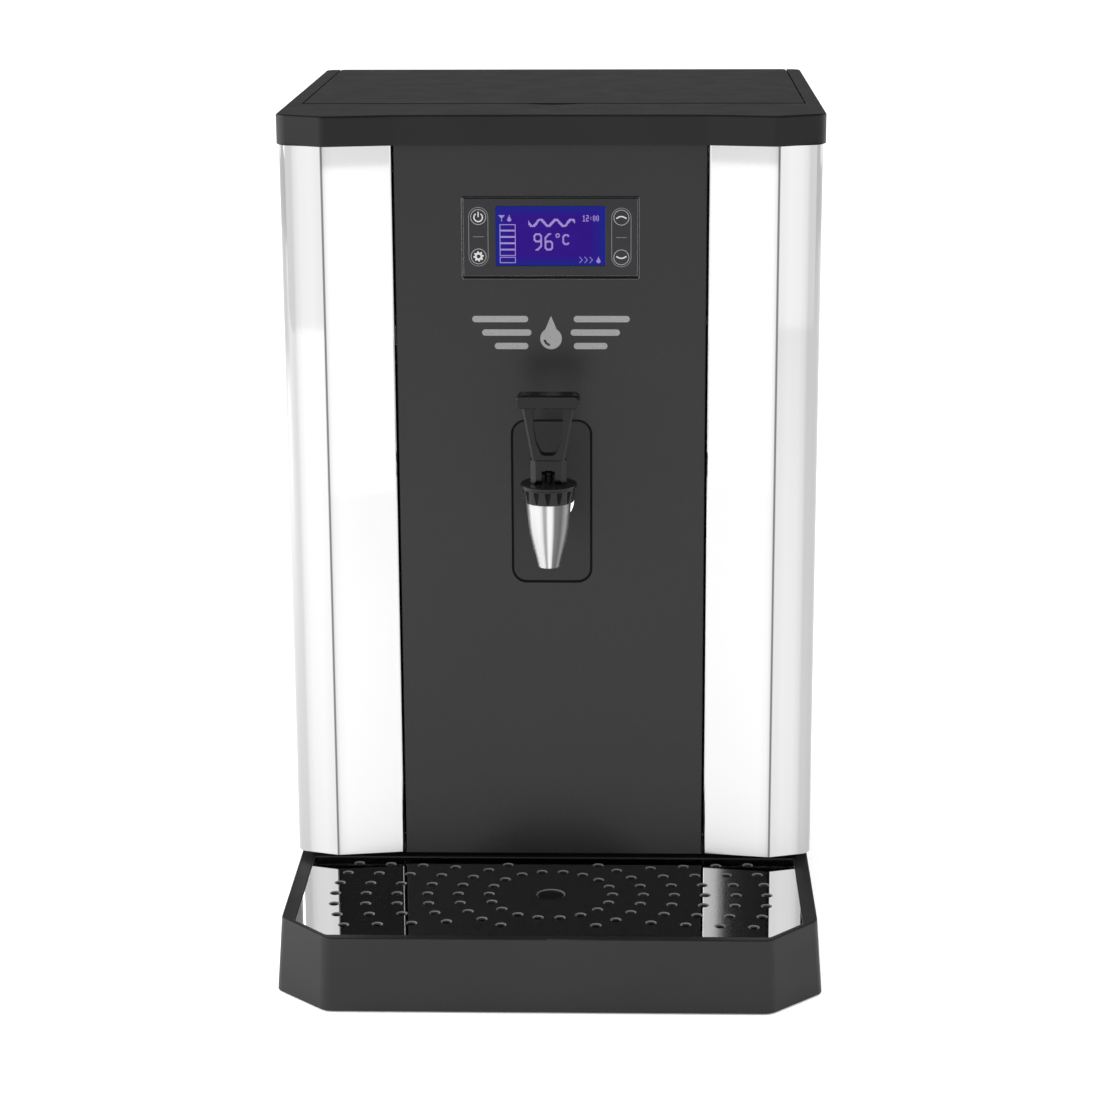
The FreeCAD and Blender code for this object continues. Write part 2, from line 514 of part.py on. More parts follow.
# lever: a fork round the stem, then a loop with a cross bar
LEVER_BASE = 324.0
neck_pts = [(-7.8, TAP_Y - 6.0), (7.8, TAP_Y - 6.0), (11.2, TAP_Y - 2.6), (11.2, TAP_Y + 2.6), (7.8, TAP_Y + 6.0), (-7.8, TAP_Y + 6.0),
            (-11.2, TAP_Y + 2.6), (-11.2, TAP_Y - 2.6)]
fork = prism(neck_pts, [0.8] * 8, LEVER_BASE, 338.6)


def xz_prism(points, radii, y0, y1):
    """A shape drawn as seen by the user (x, z), from y0 back to y1."""
    path = corners(points, radii)
    es = []
    n = len(path)
    for i, (s, mid, e) in enumerate(path):
        if mid is not None:
            es.append(Part.Arc(P(s[0], y0, s[1]), P(mid[0], y0, mid[1]), P(e[0], y0, e[1])).toShape())
        t = path[(i + 1) % n][0]
        if math.hypot(t[0] - e[0], t[1] - e[1]) > 1e-6:
            es.append(Part.LineSegment(P(e[0], y0, e[1]), P(t[0], y0, t[1])).toShape())
    return Part.Face(Part.Wire(es)).extrude(V(0, y1 - y0, 0))


LOOP = [(-9.8, 336.6), (9.8, 336.6), (16.0, 370.5), (16.3, 375.0), (-16.3, 375.0), (-16.0, 370.5)]
loop = xz_prism(LOOP, [1.6, 1.6, 4.0, 0, 0, 4.0], TAP_Y - 5.0, TAP_Y + 5.0)
loop = loop.makeChamfer(1.2, pick(loop, lambda x, y, z, e: abs(abs(y - TAP_Y) - 5.0) < 0.01 and abs(x) > 9 and z < 371 and e.Length > 4))
bar = xz_prism([(-19.8, 371.6), (19.8, 371.6), (19.8, 380.2), (-19.8, 380.2)], [3.9] * 4, TAP_Y - 7.0, TAP_Y + 7.0)
bar = bar.makeFillet(1.2, pick(bar, lambda x, y, z, e: abs(abs(y - TAP_Y) - 7.0) < 0.01))
lever = fuse(fork, loop, bar)
lever = lever.cut(xz_prism([(-4.2, 341.8), (4.2, 341.8), (7.5, 349.2), (8.9, 357.5), (9.7, 371.6), (-9.7, 371.6), (-8.9, 357.5), (-7.5, 349.2)],
                           [3.4, 3.4, 5.0, 9.0, 1.0, 1.0, 9.0, 5.0], TAP_Y - 9.0, TAP_Y + 9.0))
lever = lever.cut(box(-4.2, 4.2, TAP_Y - 9.0, TAP_Y + 9.0, 320.0, PIVOT_Z + 3.3))
lever = lever.cut(cyl(1.30, 30.0, -15.0, TAP_Y, PIVOT_Z, (1, 0, 0)))
# cam corners that ride on the bonnet as the lever tilts
for sy in (-1, 1):
    tool = box(-12, 12, TAP_Y + sy * 6.0 - 2.4, TAP_Y + sy * 6.0 + 2.4, LEVER_BASE - 2.4, LEVER_BASE + 2.4)
    tool = tool.cut(cyl(2.4, 24.0, -12.0, TAP_Y + sy * 3.6, LEVER_BASE + 2.4, (1, 0, 0)))
    tool = tool.common(box(-12, 12, min(TAP_Y + sy * 3.6, TAP_Y + sy * 9), max(TAP_Y + sy * 3.6, TAP_Y + sy * 9), LEVER_BASE - 2.4, LEVER_BASE + 2.4))
    lever = lever.cut(tool)
put("tap_lever", lever)

# ------------------------------------------------------------------- tray
TR_TOP = [(0.0, -128.9), (138.3, -128.9), (BASE_HALF_TOP, -94.9), (BASE_HALF_TOP, TRAY_REAR)]
TR_BOT = [(0.0, -130.0), (139.7, -130.0), (BASE_HALF_BOTTOM, -97.2), (BASE_HALF_BOTTOM, TRAY_REAR)]
TR_R = [0.0, 11.0, 9.0, 0.0]


def tray_loft(d, z0, z1, r):
    t = inset(mirror_points(TR_TOP), d) if d else mirror_points(TR_TOP)
    b = inset(mirror_points(TR_BOT), d) if d else mirror_points(TR_BOT)
    k0 = (z0 - SKIRT_BOTTOM) / (TRAY_RIM - SKIRT_BOTTOM)
    k1 = (z1 - SKIRT_BOTTOM) / (TRAY_RIM - SKIRT_BOTTOM)
    lo = [(bx + (tx - bx) * k0, by + (ty - by) * k0) for (tx, ty), (bx, by) in zip(t, b)]
    hi = [(bx + (tx - bx) * k1, by + (ty - by) * k1) for (tx, ty), (bx, by) in zip(t, b)]
    rr = mirror_radii(TR_TOP, r)
    lo.pop(0), hi.pop(0), rr.pop(0)
    return Part.makeLoft([outline(lo, rr, z0), outline(hi, rr, z1)], True, True)


tray = tray_loft(0, SKIRT_BOTTOM, TRAY_RIM, TR_R)
tray = tray.makeFillet(0.9, pick(tray, lambda x, y, z, e: z > TRAY_RIM - 0.01 and y < TRAY_REAR - 1))
INNER = [(0.0, -123.2), (139.4, -123.2), (161.0, -100.0), (161.0, PLATE_REAR + 1.0)]
pocket_pts = mirror_points(INNER)[1:]
pocket_r = mirror_radii(INNER, [0, 4.0, 4.0, 0.8])[1:]
basin_pts = inset(pocket_pts, 4.5)
basin_r = [5.0, 5.0, 6.0, 6.0, 5.0, 5.0]
wall_pts = inset(pocket_pts, 1.8)
tray = tray.cut(prism(pocket_pts, pocket_r, PLATE_TOP - PLATE_T - 0.05, TRAY_RIM + 1))
basin = prism(basin_pts, basin_r, 10.0, PLATE_TOP)
under = tray_loft(3.0, SKIRT_BOTTOM, 44.5, [0, 8.0, 6.0, 0.0]).cut(prism(wall_pts, basin_r, 7.4, 46.0))
tray = tray.cut(basin).cut(under)
for s in (-1, 1):
    tongue = box(s * 110 - 10, s * 110 + 10, TRAY_REAR - 3.0, TRAY_REAR + 16.0, 20.0, 24.4)
    tongue = tongue.makeFillet(3.0, pick(tongue, lambda x, y, z, e: y > TRAY_REAR + 15.9 and abs(z - 22.2) < 0.1))
    tray = fuse(tray, tongue)
put("drip_tray", tray)

PL = [(0.0, -122.8), (139.2, -122.8), (160.6, -99.8), (160.6, PLATE_REAR - PLATE_T / 2)]
dp = prism(mirror_points(PL)[1:], mirror_radii(PL, [0, 3.6, 3.6, 0])[1:], PLATE_TOP - PLATE_T, PLATE_TOP)
dp = dp.makeFillet(0.35, pick(dp, lambda x, y, z, e: z > PLATE_TOP - 0.01 and y < PLATE_REAR - PLATE_T / 2 - 0.01))
# the rear edge is round, and the plate tips up about it
dp = dp.fuse(cyl(PLATE_T / 2, 321.2, -160.6, PLATE_REAR - PLATE_T / 2, PLATE_TOP - PLATE_T / 2, (1, 0, 0)))
holes = []
for R, step, limit in ((40.0, 20.0, 90.0), (60.0, 15.0, 60.0), (80.0, 12.0, 36.0), (100.0, 10.0, 30.0), (120.0, 360.0 / 42, 25.8), (140.0, 7.5, 22.6)):
    k = 0
    while k * step < 359.9:
        a = k * step
        off = min(abs((a + 180.0) % 360.0 - 180.0), abs((a - 180.0 + 180.0) % 360.0 - 180.0))
        if off <= limit:
            x, y = R * math.cos(math.radians(a)), HOLE_CENTRE_Y + R * math.sin(math.radians(a))
            holes.append(cyl(HOLE_R, 4.0, x, y, PLATE_TOP - 3.0))
            holes.append(Part.makeCone(HOLE_R, HOLE_R + 0.9, 0.5, P(x, y, PLATE_TOP - 0.5), V(0, 0, 1)))
        k += 1
holes.append(cyl(8.5, 4.0, 0, HOLE_CENTRE_Y, PLATE_TOP - 3.0))
holes.append(Part.makeCone(8.5, 9.3, 0.5, P(0, HOLE_CENTRE_Y, PLATE_TOP - 0.5), V(0, 0, 1)))
dp = dp.cut(Part.makeCompound(holes))
put("drip_plate", dp)

# ------------------------------------------------------------------ tank
tx0, tx1, ty0, ty1, tz0, tz1 = TANK
TP = [(tx0, ty0), (tx1, ty0), (tx1, ty1), (tx0, ty1)]
tank = prism(TP, [18] * 4, tz0, tz1)
tank = tank.makeFillet(8.0, pick(tank, lambda x, y, z, e: z < tz0 + 0.01))
inner = prism(inset(TP, TANK_WALL), [16.8] * 4, tz0 + TANK_WALL, tz1 + 5)
inner = inner.makeFillet(6.8, pick(inner, lambda x, y, z, e: z < tz0 + TANK_WALL + 0.01))
FLG = inset(TP, -10.0)
tank = fuse(tank, prism(FLG, [24] * 4, tz1 - 1.5, tz1))
stub = cyl(6.5, 27.0, 0, ty0 - 26.0, SHANK_Z, (0, 1, 0))
tank = fuse(tank, stub).cut(inner).cut(cyl(5.2, 40.0, 0, ty0 - 30.0, SHANK_Z, (0, 1, 0)))
EL = (160.0, 126.0)
tank = tank.cut(cyl(19.2, 8.0, tx1 - 4.0, EL[0], EL[1], (1, 0, 0)))
put("tank", tank)
put("tank_seal", prism(FLG, [24] * 4, tz1, tz1 + 1.6).cut(prism(inset(TP, 0.5), [17] * 4, tz1 - 1, tz1 + 3)))
tl = prism(FLG, [24] * 4, tz1 + 1.6, tz1 + 3.2)
LZ = tz1 + 3.2
PROBE = [(-96.0, 235.0), (-84.0, 235.0), (-72.0, 235.0)]
tl = tl.cut(cyl(4.1, 6.0, -20.0, 110.0, LZ - 4)).cut(box(-102, -66, 229, 241, LZ - 4, LZ + 1))
tl = fuse(tl, ring(6.2, 4.2, 14.0, 10.0, 230.0, LZ), ring(6.2, 4.2, 14.0, -120.0, 240.0, LZ))
tl = tl.cut(cyl(4.2, 6.0, 10.0, 230.0, LZ - 4)).cut(cyl(4.2, 6.0, -120.0, 240.0, LZ - 4))
put("tank_lid", tl)
bolts = []
for x in (tx0 - 5.0, tx1 + 5.0):
    for y in (100.0, 170.0, 240.0):
        bolts.append((x, y))
bolt_s = []
for x, y in bolts:
    for nm in ("tank", "tank_seal", "tank_lid"):
        PARTS[nm] = PARTS[nm].cut(cyl(2.1, 12.0, x, y, tz1 - 5))
    bolt_s.append(fuse(hexagon(7.0, 3.0, x, y, LZ, "z"), cyl(1.98, 12.0, x, y, LZ - 11.0)))
put("tank_lid_bolts", *bolt_s)
boss = fuse(box(-101.9, -66.1, 229.1, 240.9, LZ - 5, LZ), box(-105, -63, 226, 244, LZ, LZ + 5))
lens = (60.0, 120.0, 250.0)
for (x, y), L in zip(PROBE, lens):
    boss = boss.fuse(cyl(1.5, L + 14, x, y, LZ - L))
put("level_probes", boss.removeSplitter())
put("temperature_sensor", fuse(cyl(3.0, 170.0, -20.0, 110.0, LZ - 165.0), cyl(7.0, 5.0, -20.0, 110.0, LZ), cyl(4.0, 3.3, -20.0, 110.0, LZ - 3.2)))
cutout = fuse(cyl(12.0, 6.0, -70.0, 150.0, LZ), cyl(8.0, 8.0, -70.0, 150.0, LZ + 6.0), cyl(2.5, 3.0, -70.0, 150.0, LZ + 14.0),
              box(-88, -81.5, 146.9, 153.1, LZ + 8, LZ + 9), box(-58.5, -52, 146.9, 153.1, LZ + 8, LZ + 9),
              box(-84, -56, 146.9, 153.1, LZ + 6, LZ + 9))
put("overheat_cutout", cutout)

element = fuse(cyl(26.0, 4.0, tx1 + 2.2, EL[0], EL[1], (1, 0, 0)), hexagon(40.0, 7.0, tx1 + 6.2, EL[0], EL[1], "x"),
               cyl(18.9, 8.0, tx1 - 5.8, EL[0], EL[1], (1, 0, 0)))
for dy, dz in ((-9.0, 0.0), (9.0, 0.0)):
    lo = 30.0 if dy > 0 else 52.0
    element = element.fuse(tube([(tx1 - 5.0, EL[0] + dy, EL[1] - 9.0), (tx0 + lo, EL[0] + dy, EL[1] - 9.0),
                                 (tx0 + lo, EL[0] + dy, EL[1] + 9.0), (tx1 - 5.0, EL[0] + dy, EL[1] + 9.0)], 3.4, 8.9))
for dy, dz in ((-9.0, -9.0), (-9.0, 9.0), (9.0, -9.0), (9.0, 9.0)):
    element = element.fuse(cyl(2.0, 9.0, tx1 + 13.0, EL[0] + dy, EL[1] + dz, (1, 0, 0)))
put("heating_element", element.removeSplitter())
put("element_gasket", ring(25.0, 19.1, 2.2, tx1, EL[0], EL[1], (1, 0, 0)))

ins_out = [(tx0 - 12, ty0 - 12), (tx1 + 12, ty0 - 12), (tx1 + 12, ty1 + 12), (tx0 - 12, ty1 + 12)]
ins = prism(ins_out, [26] * 4, tz0 - 12.0, tz1 - 9.0)
ins_in = prism(inset(TP, -0.3), [18.3] * 4, tz0 - 0.3, tz1 + 1)
ins_in = ins_in.makeFillet(8.0, pick(ins_in, lambda x, y, z, e: z < tz0 - 0.29))
ins = ins.cut(ins_in).cut(cyl(10.2, 20.0, 0, ty0 - 16.0, SHANK_Z, (0, 1, 0))).cut(cyl(27.0, 20.0, tx1 - 2, EL[0], EL[1], (1, 0, 0)))
put("tank_insulation", ins)
cr = fuse(box(-156, 38, 85, 255, 81.4, 82.9), box(-156, -154.5, 85, 255, 61.5, 82), box(36.5, 38, 85, 255, 61.5, 82),
          box(-161.5, -154.5, 85, 255, 61.5, 63.0), box(36.5, 48.0, 85, 255, 61.5, 63.0))
put("tank_cradle", cr)

# -------------------------------------------------------------- water circuit
ix, iz = INLET
conn = fuse(cyl(INLET_R, REAR_END - 324.5, ix, 324.5, iz, (0, 1, 0)), hexagon(34.0, 3.4, ix, 320.95, iz, "y").cut(cyl(13.0, 5, ix, 320, iz, (0, 1, 0))),
            cyl(13.0, 22.0, ix, 303.0, iz, (0, 1, 0)))
conn = conn.cut(cyl(8.0, 50.0, ix, 300.0, iz, (0, 1, 0)))
conn = conn.makeChamfer(0.8, pick(conn, lambda x, y, z, e: y > REAR_END - 0.01 and e.Length > 70))
put("inlet_connector", conn)
valve = fuse(box(ix - 15, ix + 15, 276.0, 303.0, iz - 13, iz + 13), cyl(15.0, 26.0, ix, 289.5, iz + 13.0),
             cyl(5.0, 16.0, ix, 262.0, iz, (0, 1, 0)), box(ix - 6, ix + 6, 286.0, 293.0, iz + 39, iz + 47))
valve = valve.cut(cyl(3.2, 20.0, ix, 261.0, iz, (0, 1, 0)))
put("inlet_solenoid_valve", valve)
h1 = tube([(ix, 275.5, iz), (ix, 240.0, iz), (WX, 215.0, 120.0), (WX, 215.0, 269.0)], 7.6, 14.0, 5.05) if False else     tube([(ix, 275.0, iz), (ix, 215.0, iz), (ix, 215.0, 170.0), (WX, 215.0, 200.0), (WX, 215.0, 268.0)], 9.6, 17.0, 7.1)
put("inlet_hose", h1)
h2 = tube([(WX, 249.2, 280.0), (WX, 296.0, 280.0), (WX, 296.0, 428.0), (10.0, 296.0, 428.0), (10.0, 230.0, 428.0), (10.0, 230.0, LZ + 1.0)],
          9.2, 17.0, 7.1)
put("filter_hose", h2)
h3 = tube([(-120.0, 240.0, LZ + 1.0), (-120.0, 240.0, 428.0), (-120.0, 290.0, 428.0), (-120.0, 290.0, 95.0), (-120.0, 316.0, 95.0)],
          8.0, 12.0, 6.25)
put("overflow_hose", h3)
th = cyl(9.4, 27.0, 0, 28.0, SHANK_Z, (0, 1, 0)).cut(cyl(6.55, 27.0, 0, 28.0, SHANK_Z, (0, 1, 0)))
put("tap_hose", th)
sx_, sz_ = SPIGOT
sp = fuse(cyl(6.2, 26.0, sx_, 304.0, sz_, (0, 1, 0)), cyl(11.0, 3.0, sx_, 321.0, sz_, (0, 1, 0)), cyl(5.0, REAR_END - 323.0, sx_, 322.0, sz_, (0, 1, 0)))
sp = sp.cut(cyl(6.4, 6.1, sx_, 324.0, sz_, (0, 1, 0)).cut(cyl(5.0, 8, sx_, 323, sz_, (0, 1, 0)))).cut(cyl(3.4, 60.0, sx_, 300.0, sz_, (0, 1, 0)))
put("overflow_spigot", sp)

gx, gz = GLAND
gl = fuse(cyl(8.0, 12.0, gx, 311.0, gz, (0, 1, 0)), hexagon(22.0, 5.0, gx, 320.95, gz, "y"), cyl(9.6, 9.0, gx, 325.9, gz, (0, 1, 0)))
gl = gl.makeFillet(2.4, pick(gl, lambda x, y, z, e: y > 334.8 and e.Length > 50))
gl = fuse(gl, hexagon(22.0, 4.0, gx, 315.3, gz, "y")).cut(cyl(4.5, 40.0, gx, 305.0, gz, (0, 1, 0)))
put("cable_gland", gl)

# ------------------------------------------------------------------- export
os.makedirs("parts", exist_ok=True)
total = None
for name, shape in PARTS.items():
    if not shape.isValid():
        print("INVALID", name)
    n = len(shape.Solids)
    bb = shape.BoundBox
    print("%-24s solids %d  vol %9.1f  x %.1f %.1f  y %.1f %.1f  z %.1f %.1f" % (
        name, n, shape.Volume, bb.XMin, bb.XMax, bb.YMin, bb.YMax, bb.ZMin, bb.ZMax))
    if n == 1:
        shape = shape.Solids[0]
    shape.exportStep("parts/%s.step" % name)
    total = bb if total is None else total.united(bb)
print(len(PARTS), "nodes", total)
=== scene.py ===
"""Looks of the countertop hot water dispenser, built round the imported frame. Metres, +Z up, front towards -Y."""
import bpy, bmesh, math, json
from mathutils import Vector, Matrix


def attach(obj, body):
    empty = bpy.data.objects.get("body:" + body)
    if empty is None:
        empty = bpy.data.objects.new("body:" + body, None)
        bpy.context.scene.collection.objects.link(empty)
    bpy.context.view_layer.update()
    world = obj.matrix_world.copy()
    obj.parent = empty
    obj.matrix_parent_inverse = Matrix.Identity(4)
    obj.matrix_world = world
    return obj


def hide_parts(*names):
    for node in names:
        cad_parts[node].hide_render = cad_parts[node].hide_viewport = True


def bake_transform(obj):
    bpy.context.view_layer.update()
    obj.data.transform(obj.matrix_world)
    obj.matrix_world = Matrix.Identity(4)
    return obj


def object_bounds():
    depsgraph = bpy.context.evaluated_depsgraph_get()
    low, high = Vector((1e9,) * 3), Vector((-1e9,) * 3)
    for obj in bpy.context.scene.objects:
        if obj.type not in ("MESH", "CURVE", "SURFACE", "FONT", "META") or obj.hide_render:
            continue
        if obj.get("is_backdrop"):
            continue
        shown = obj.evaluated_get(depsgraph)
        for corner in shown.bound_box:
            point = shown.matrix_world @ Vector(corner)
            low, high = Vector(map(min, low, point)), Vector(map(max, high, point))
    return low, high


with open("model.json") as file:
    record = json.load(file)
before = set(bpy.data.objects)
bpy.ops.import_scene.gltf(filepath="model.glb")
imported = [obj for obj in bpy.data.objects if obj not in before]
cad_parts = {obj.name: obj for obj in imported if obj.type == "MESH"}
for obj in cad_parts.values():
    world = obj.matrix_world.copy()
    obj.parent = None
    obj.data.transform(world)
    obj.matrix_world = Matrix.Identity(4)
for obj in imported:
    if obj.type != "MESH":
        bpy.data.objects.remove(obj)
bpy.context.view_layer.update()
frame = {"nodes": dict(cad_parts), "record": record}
NODES = frame["nodes"]
MM = 0.001
scene = bpy.context.scene


# ------------------------------------------------------------ node helpers
def srgb(h):
    out = []
    for i in (0, 2, 4):
        c = int(h[i:i + 2], 16) / 255.0
        out.append(c / 12.92 if c <= 0.04045 else ((c + 0.055) / 1.055) ** 2.4)
    return (*out, 1.0)


def grey(v):
    return (v, v, v, 1.0)


class Mat:
    """A principled material with its texture nodes in object space (metres)."""

    def __init__(self, name, base=(0.5, 0.5, 0.5, 1), rough=0.5, metal=0.0, **kw):
        m = bpy.data.materials.new(name)
        m.use_nodes = True
        self.m, self.t = m, m.node_tree
        self.b = self.t.nodes["Principled BSDF"]
        self.b.inputs["Base Color"].default_value = base
        self.b.inputs["Roughness"].default_value = rough
        self.b.inputs["Metallic"].default_value = metal
        for k, v in kw.items():
            self.b.inputs[k.replace("_", " ")].default_value = v
        self.co = self.t.nodes.new("ShaderNodeTexCoord").outputs["Object"]
        self.normal = None

    def link(self, a, b):
        self.t.links.new(a, b)

    def scaled(self, s):
        n = self.t.nodes.new("ShaderNodeMapping")
        n.inputs["Scale"].default_value = s
        self.link(self.co, n.inputs["Vector"])
        return n.outputs["Vector"]

    def noise(self, scale, detail=3.0, rough=0.55, dist=0.0, stretch=None):
        n = self.t.nodes.new("ShaderNodeTexNoise")
        n.inputs["Scale"].default_value = scale
        n.inputs["Detail"].default_value = detail
        n.inputs["Roughness"].default_value = rough
        n.inputs["Distortion"].default_value = dist
        self.link(self.scaled(stretch) if stretch else self.co, n.inputs["Vector"])
        return n.outputs["Fac"]

    def voronoi(self, scale, feature="F1", stretch=None):
        n = self.t.nodes.new("ShaderNodeTexVoronoi")
        n.feature = feature
        n.inputs["Scale"].default_value = scale
        self.link(self.scaled(stretch) if stretch else self.co, n.inputs["Vector"])
        return n.outputs["Distance"]

    def remap(self, src, a, b, c, d):
        n = self.t.nodes.new("ShaderNodeMapRange")
        for k, v in (("From Min", a), ("From Max", b), ("To Min", c), ("To Max", d)):
            n.inputs[k].default_value = v
        self.link(src, n.inputs["Value"])
        return n.outputs["Result"]

    def math(self, op, a, b):
        n = self.t.nodes.new("ShaderNodeMath")
        n.operation = op
        for i, v in enumerate((a, b)):
            if isinstance(v, (int, float)):
                n.inputs[i].default_value = v
            else:
                self.link(v, n.inputs[i])
        return n.outputs[0]

    def mix(self, fac, c0, c1):
        n = self.t.nodes.new("ShaderNodeMix")
        n.data_type = "RGBA"
        for key, v in ((6, c0), (7, c1)):
            if isinstance(v, (tuple, list)):
                n.inputs[key].default_value = v
            else:
                self.link(v, n.inputs[key])
        self.link(fac, n.inputs[0])
        return n.outputs[2]

    def colour(self, src):
        self.link(src, self.b.inputs["Base Color"])
        return self

    def rough(self, src):
        self.link(src, self.b.inputs["Roughness"])
        return self

    def bump(self, height, strength, distance):
        n = self.t.nodes.new("ShaderNodeBump")
        n.inputs["Strength"].default_value = strength
        n.inputs["Distance"].default_value = distance
        self.link(height, n.inputs["Height"])
        if self.normal is not None:
            self.link(self.normal, n.inputs["Normal"])
        self.normal = n.outputs["Normal"]
        self.link(self.normal, self.b.inputs["Normal"])
        return self


def moulded(name, dark, light, rough=(0.42, 0.52), grain=2200.0, bump=0.22, spec=0.42, blotch=14.0):
    """Spark-eroded moulded plastic: fine grain, slight colour and gloss drift."""
    k = Mat(name, dark, rough[0])
    k.b.inputs["Specular IOR Level"].default_value = spec
    k.colour(k.mix(k.remap(k.noise(blotch, 4.0), 0.35, 0.68, 0.0, 1.0), dark, light))
    k.rough(k.remap(k.math("ADD", k.math("MULTIPLY", k.noise(grain * 0.5, 2.0), 0.5), k.math("MULTIPLY", k.noise(blotch * 3, 3.0), 0.5)),
                    0.35, 0.65, rough[0], rough[1]))
    k.bump(k.voronoi(grain), bump, 0.00012)
    k.bump(k.noise(38.0, 2.0), 0.05, 0.0006)
    return k.m


def metal(name, base, rough=(0.08, 0.14), lines=(900.0, 900.0, 14.0), bump=0.05, tint=None, wave=0.0, wave_scale=6.0):
    """Sheet or turned metal with fine polishing lines along the short axis of the stretch."""
    k = Mat(name, base, rough[0], 1.0)
    ln = k.noise(1.0, 4.0, 0.6, 0.0, lines)
    k.rough(k.remap(ln, 0.3, 0.7, rough[0], rough[1]))
    k.colour(k.mix(k.remap(k.noise(9.0, 3.0), 0.3, 0.7, 0.0, 1.0), base, tint or tuple(c * 0.96 for c in base[:3]) + (1.0,)))
    if bump:
        k.bump(ln, bump, 0.00004)
    if wave:
        k.bump(k.noise(wave_scale, 1.0), wave, 0.002)
    return k.m


M = {}
M["black_moulding"] = moulded("black_moulding_mat", srgb("151515"), srgb("181818"), (0.42, 0.5), spec=0.25)
M["lid_moulding"] = moulded("lid_moulding_mat", srgb("101010"), srgb("131313"), (0.4, 0.48), spec=0.19, bump=0.12)
M["bay_moulding"] = moulded("bay_moulding_mat", srgb("262626"), srgb("2c2c2c"), (0.38, 0.5), 1400.0)
M["tap_plastic"] = moulded("tap_plastic_mat", srgb("0b0b0b"), srgb("0f0f0f"), (0.22, 0.3), 3000.0, 0.05, 0.2)
M["stem_black"] = moulded("stem_black_mat", srgb("080808"), srgb("0b0b0b"), (0.34, 0.42), 3000.0, 0.06, 0.14)
M["gland_plastic"] = moulded("gland_plastic_mat", srgb("1a1a1a"), srgb("202020"), (0.4, 0.5), 2600.0, 0.15)
M["white_plastic"] = moulded("white_plastic_mat", srgb("d8d8d2"), srgb("e2e2dd"), (0.38, 0.48), 1800.0, 0.08)
M["valve_plastic"] = moulded("valve_plastic_mat", srgb("c9cdd2"), srgb("d6d8da"), (0.36, 0.48), 1800.0, 0.08)
M["rubber"] = moulded("rubber_mat", srgb("161616"), srgb("1e1e1e"), (0.7, 0.85), 1600.0, 0.3, 0.25)

k = Mat("black_panel_mat", srgb("131313"), 0.3)
k.b.inputs["Specular IOR Level"].default_value = 0.28
k.colour(k.mix(k.remap(k.noise(7.0, 3.0), 0.3, 0.7, 0.0, 1.0), srgb("131313"), srgb("161616")))
k.rough(k.remap(k.noise(600.0, 3.0), 0.3, 0.7, 0.27, 0.33))
k.bump(k.noise(1500.0, 3.0), 0.12, 0.0001)
k.bump(k.noise(220.0, 2.0), 0.05, 0.0002)
M["black_panel"] = k.m

# bright polished sheet with painted shade standing in for its reflections: darker along the inner edge by the black
# panel, a dark painted hairline and soft painted shoulders along each bend, greyer round the outer corner
k = Mat("polished_steel_mat", grey(0.54), 0.06, 1.0)
sep = k.t.nodes.new("ShaderNodeSeparateXYZ")
k.link(k.co, sep.inputs[0])
# painted shade ramp across the front strips, set by distance from the middle; further back the sheet keeps its plain
# tone
painted_bend_shade = k.t.nodes.new("ShaderNodeValToRGB")
painted_light_stops = ((99.4, 0.3), (101.2, 0.52), (136.0, 0.54), (140.6, 0.51), (142.5, 0.43), (143.0, 0.12), (143.9, 0.12), (144.4, 0.455),
         (147.5, 0.465), (151.0, 0.485), (158.0, 0.47), (161.5, 0.425), (163.5, 0.35), (171.0, 0.35), (172.0, 0.37))
cr = painted_bend_shade.color_ramp
while len(cr.elements) < len(painted_light_stops):
    cr.elements.new(0.5)
for el, (x_, v) in zip(cr.elements, painted_light_stops):
    el.position, el.color = (x_ - 95.0) / 80.0, (v, v, v, 1)
k.link(k.remap(k.math("ABSOLUTE", sep.outputs["X"], 0), 0.095, 0.175, 0.0, 1.0), painted_bend_shade.inputs[0])
k.colour(k.mix(k.remap(sep.outputs["Y"], -0.086, -0.080, 0.0, 1.0), painted_bend_shade.outputs[0],
               k.mix(k.remap(k.noise(9.0, 3.0), 0.3, 0.7, 0.0, 1.0), grey(0.52), grey(0.545))))
ln = k.noise(1.0, 4.0, 0.6, 0.0, (700.0, 700.0, 6.0))
k.rough(k.remap(ln, 0.3, 0.7, 0.03, 0.05))
k.bump(ln, 0.006, 0.00004)
M["polished_steel"] = k.m

# mirror finish on the flats; painted shade in the holes, whose walls are painted near-black and not metallic, and
# round each hole a dull grey non-metallic countersink as a painted light ring
k = Mat("mirror_plate_mat", grey(0.62), 0.03, 1.0)
tc = k.t.nodes.new("ShaderNodeTexCoord")
sepn = k.t.nodes.new("ShaderNodeSeparateXYZ")
k.link(tc.outputs["Normal"], sepn.inputs[0])
nz = k.math("ABSOLUTE", sepn.outputs["Z"], 0)
top = k.remap(nz, 0.9, 0.98, 0.0, 1.0)
# by normal: flats stay mirror, countersinks get the painted light ring grey, walls the painted shade near-black
k.colour(k.mix(top, k.mix(k.remap(nz, 0.8, 0.86, 0.0, 1.0), grey(0.012), grey(0.1)),
               k.mix(k.remap(k.noise(9.0, 3.0), 0.3, 0.7, 0.0, 1.0), grey(0.64), grey(0.62))))
k.link(top, k.b.inputs["Metallic"])
k.b.inputs["Specular IOR Level"].default_value = 0.2
ln = k.noise(1.0, 4.0, 0.6, 0.0, (30.0, 900.0, 30.0))
k.rough(k.math("ADD", k.remap(ln, 0.3, 0.7, 0.02, 0.04), k.remap(top, 0.0, 1.0, 0.4, 0.0)))
k.bump(ln, 0.004, 0.00004)
M["mirror_plate"] = k.m
M["tap_chrome"] = metal("tap_chrome_mat", grey(0.86), (0.04, 0.08), (60.0, 60.0, 2600.0), 0.03)
M["rear_steel"] = metal("rear_steel_mat", grey(0.6), (0.26, 0.36), (1600.0, 1600.0, 12.0), 0.1)
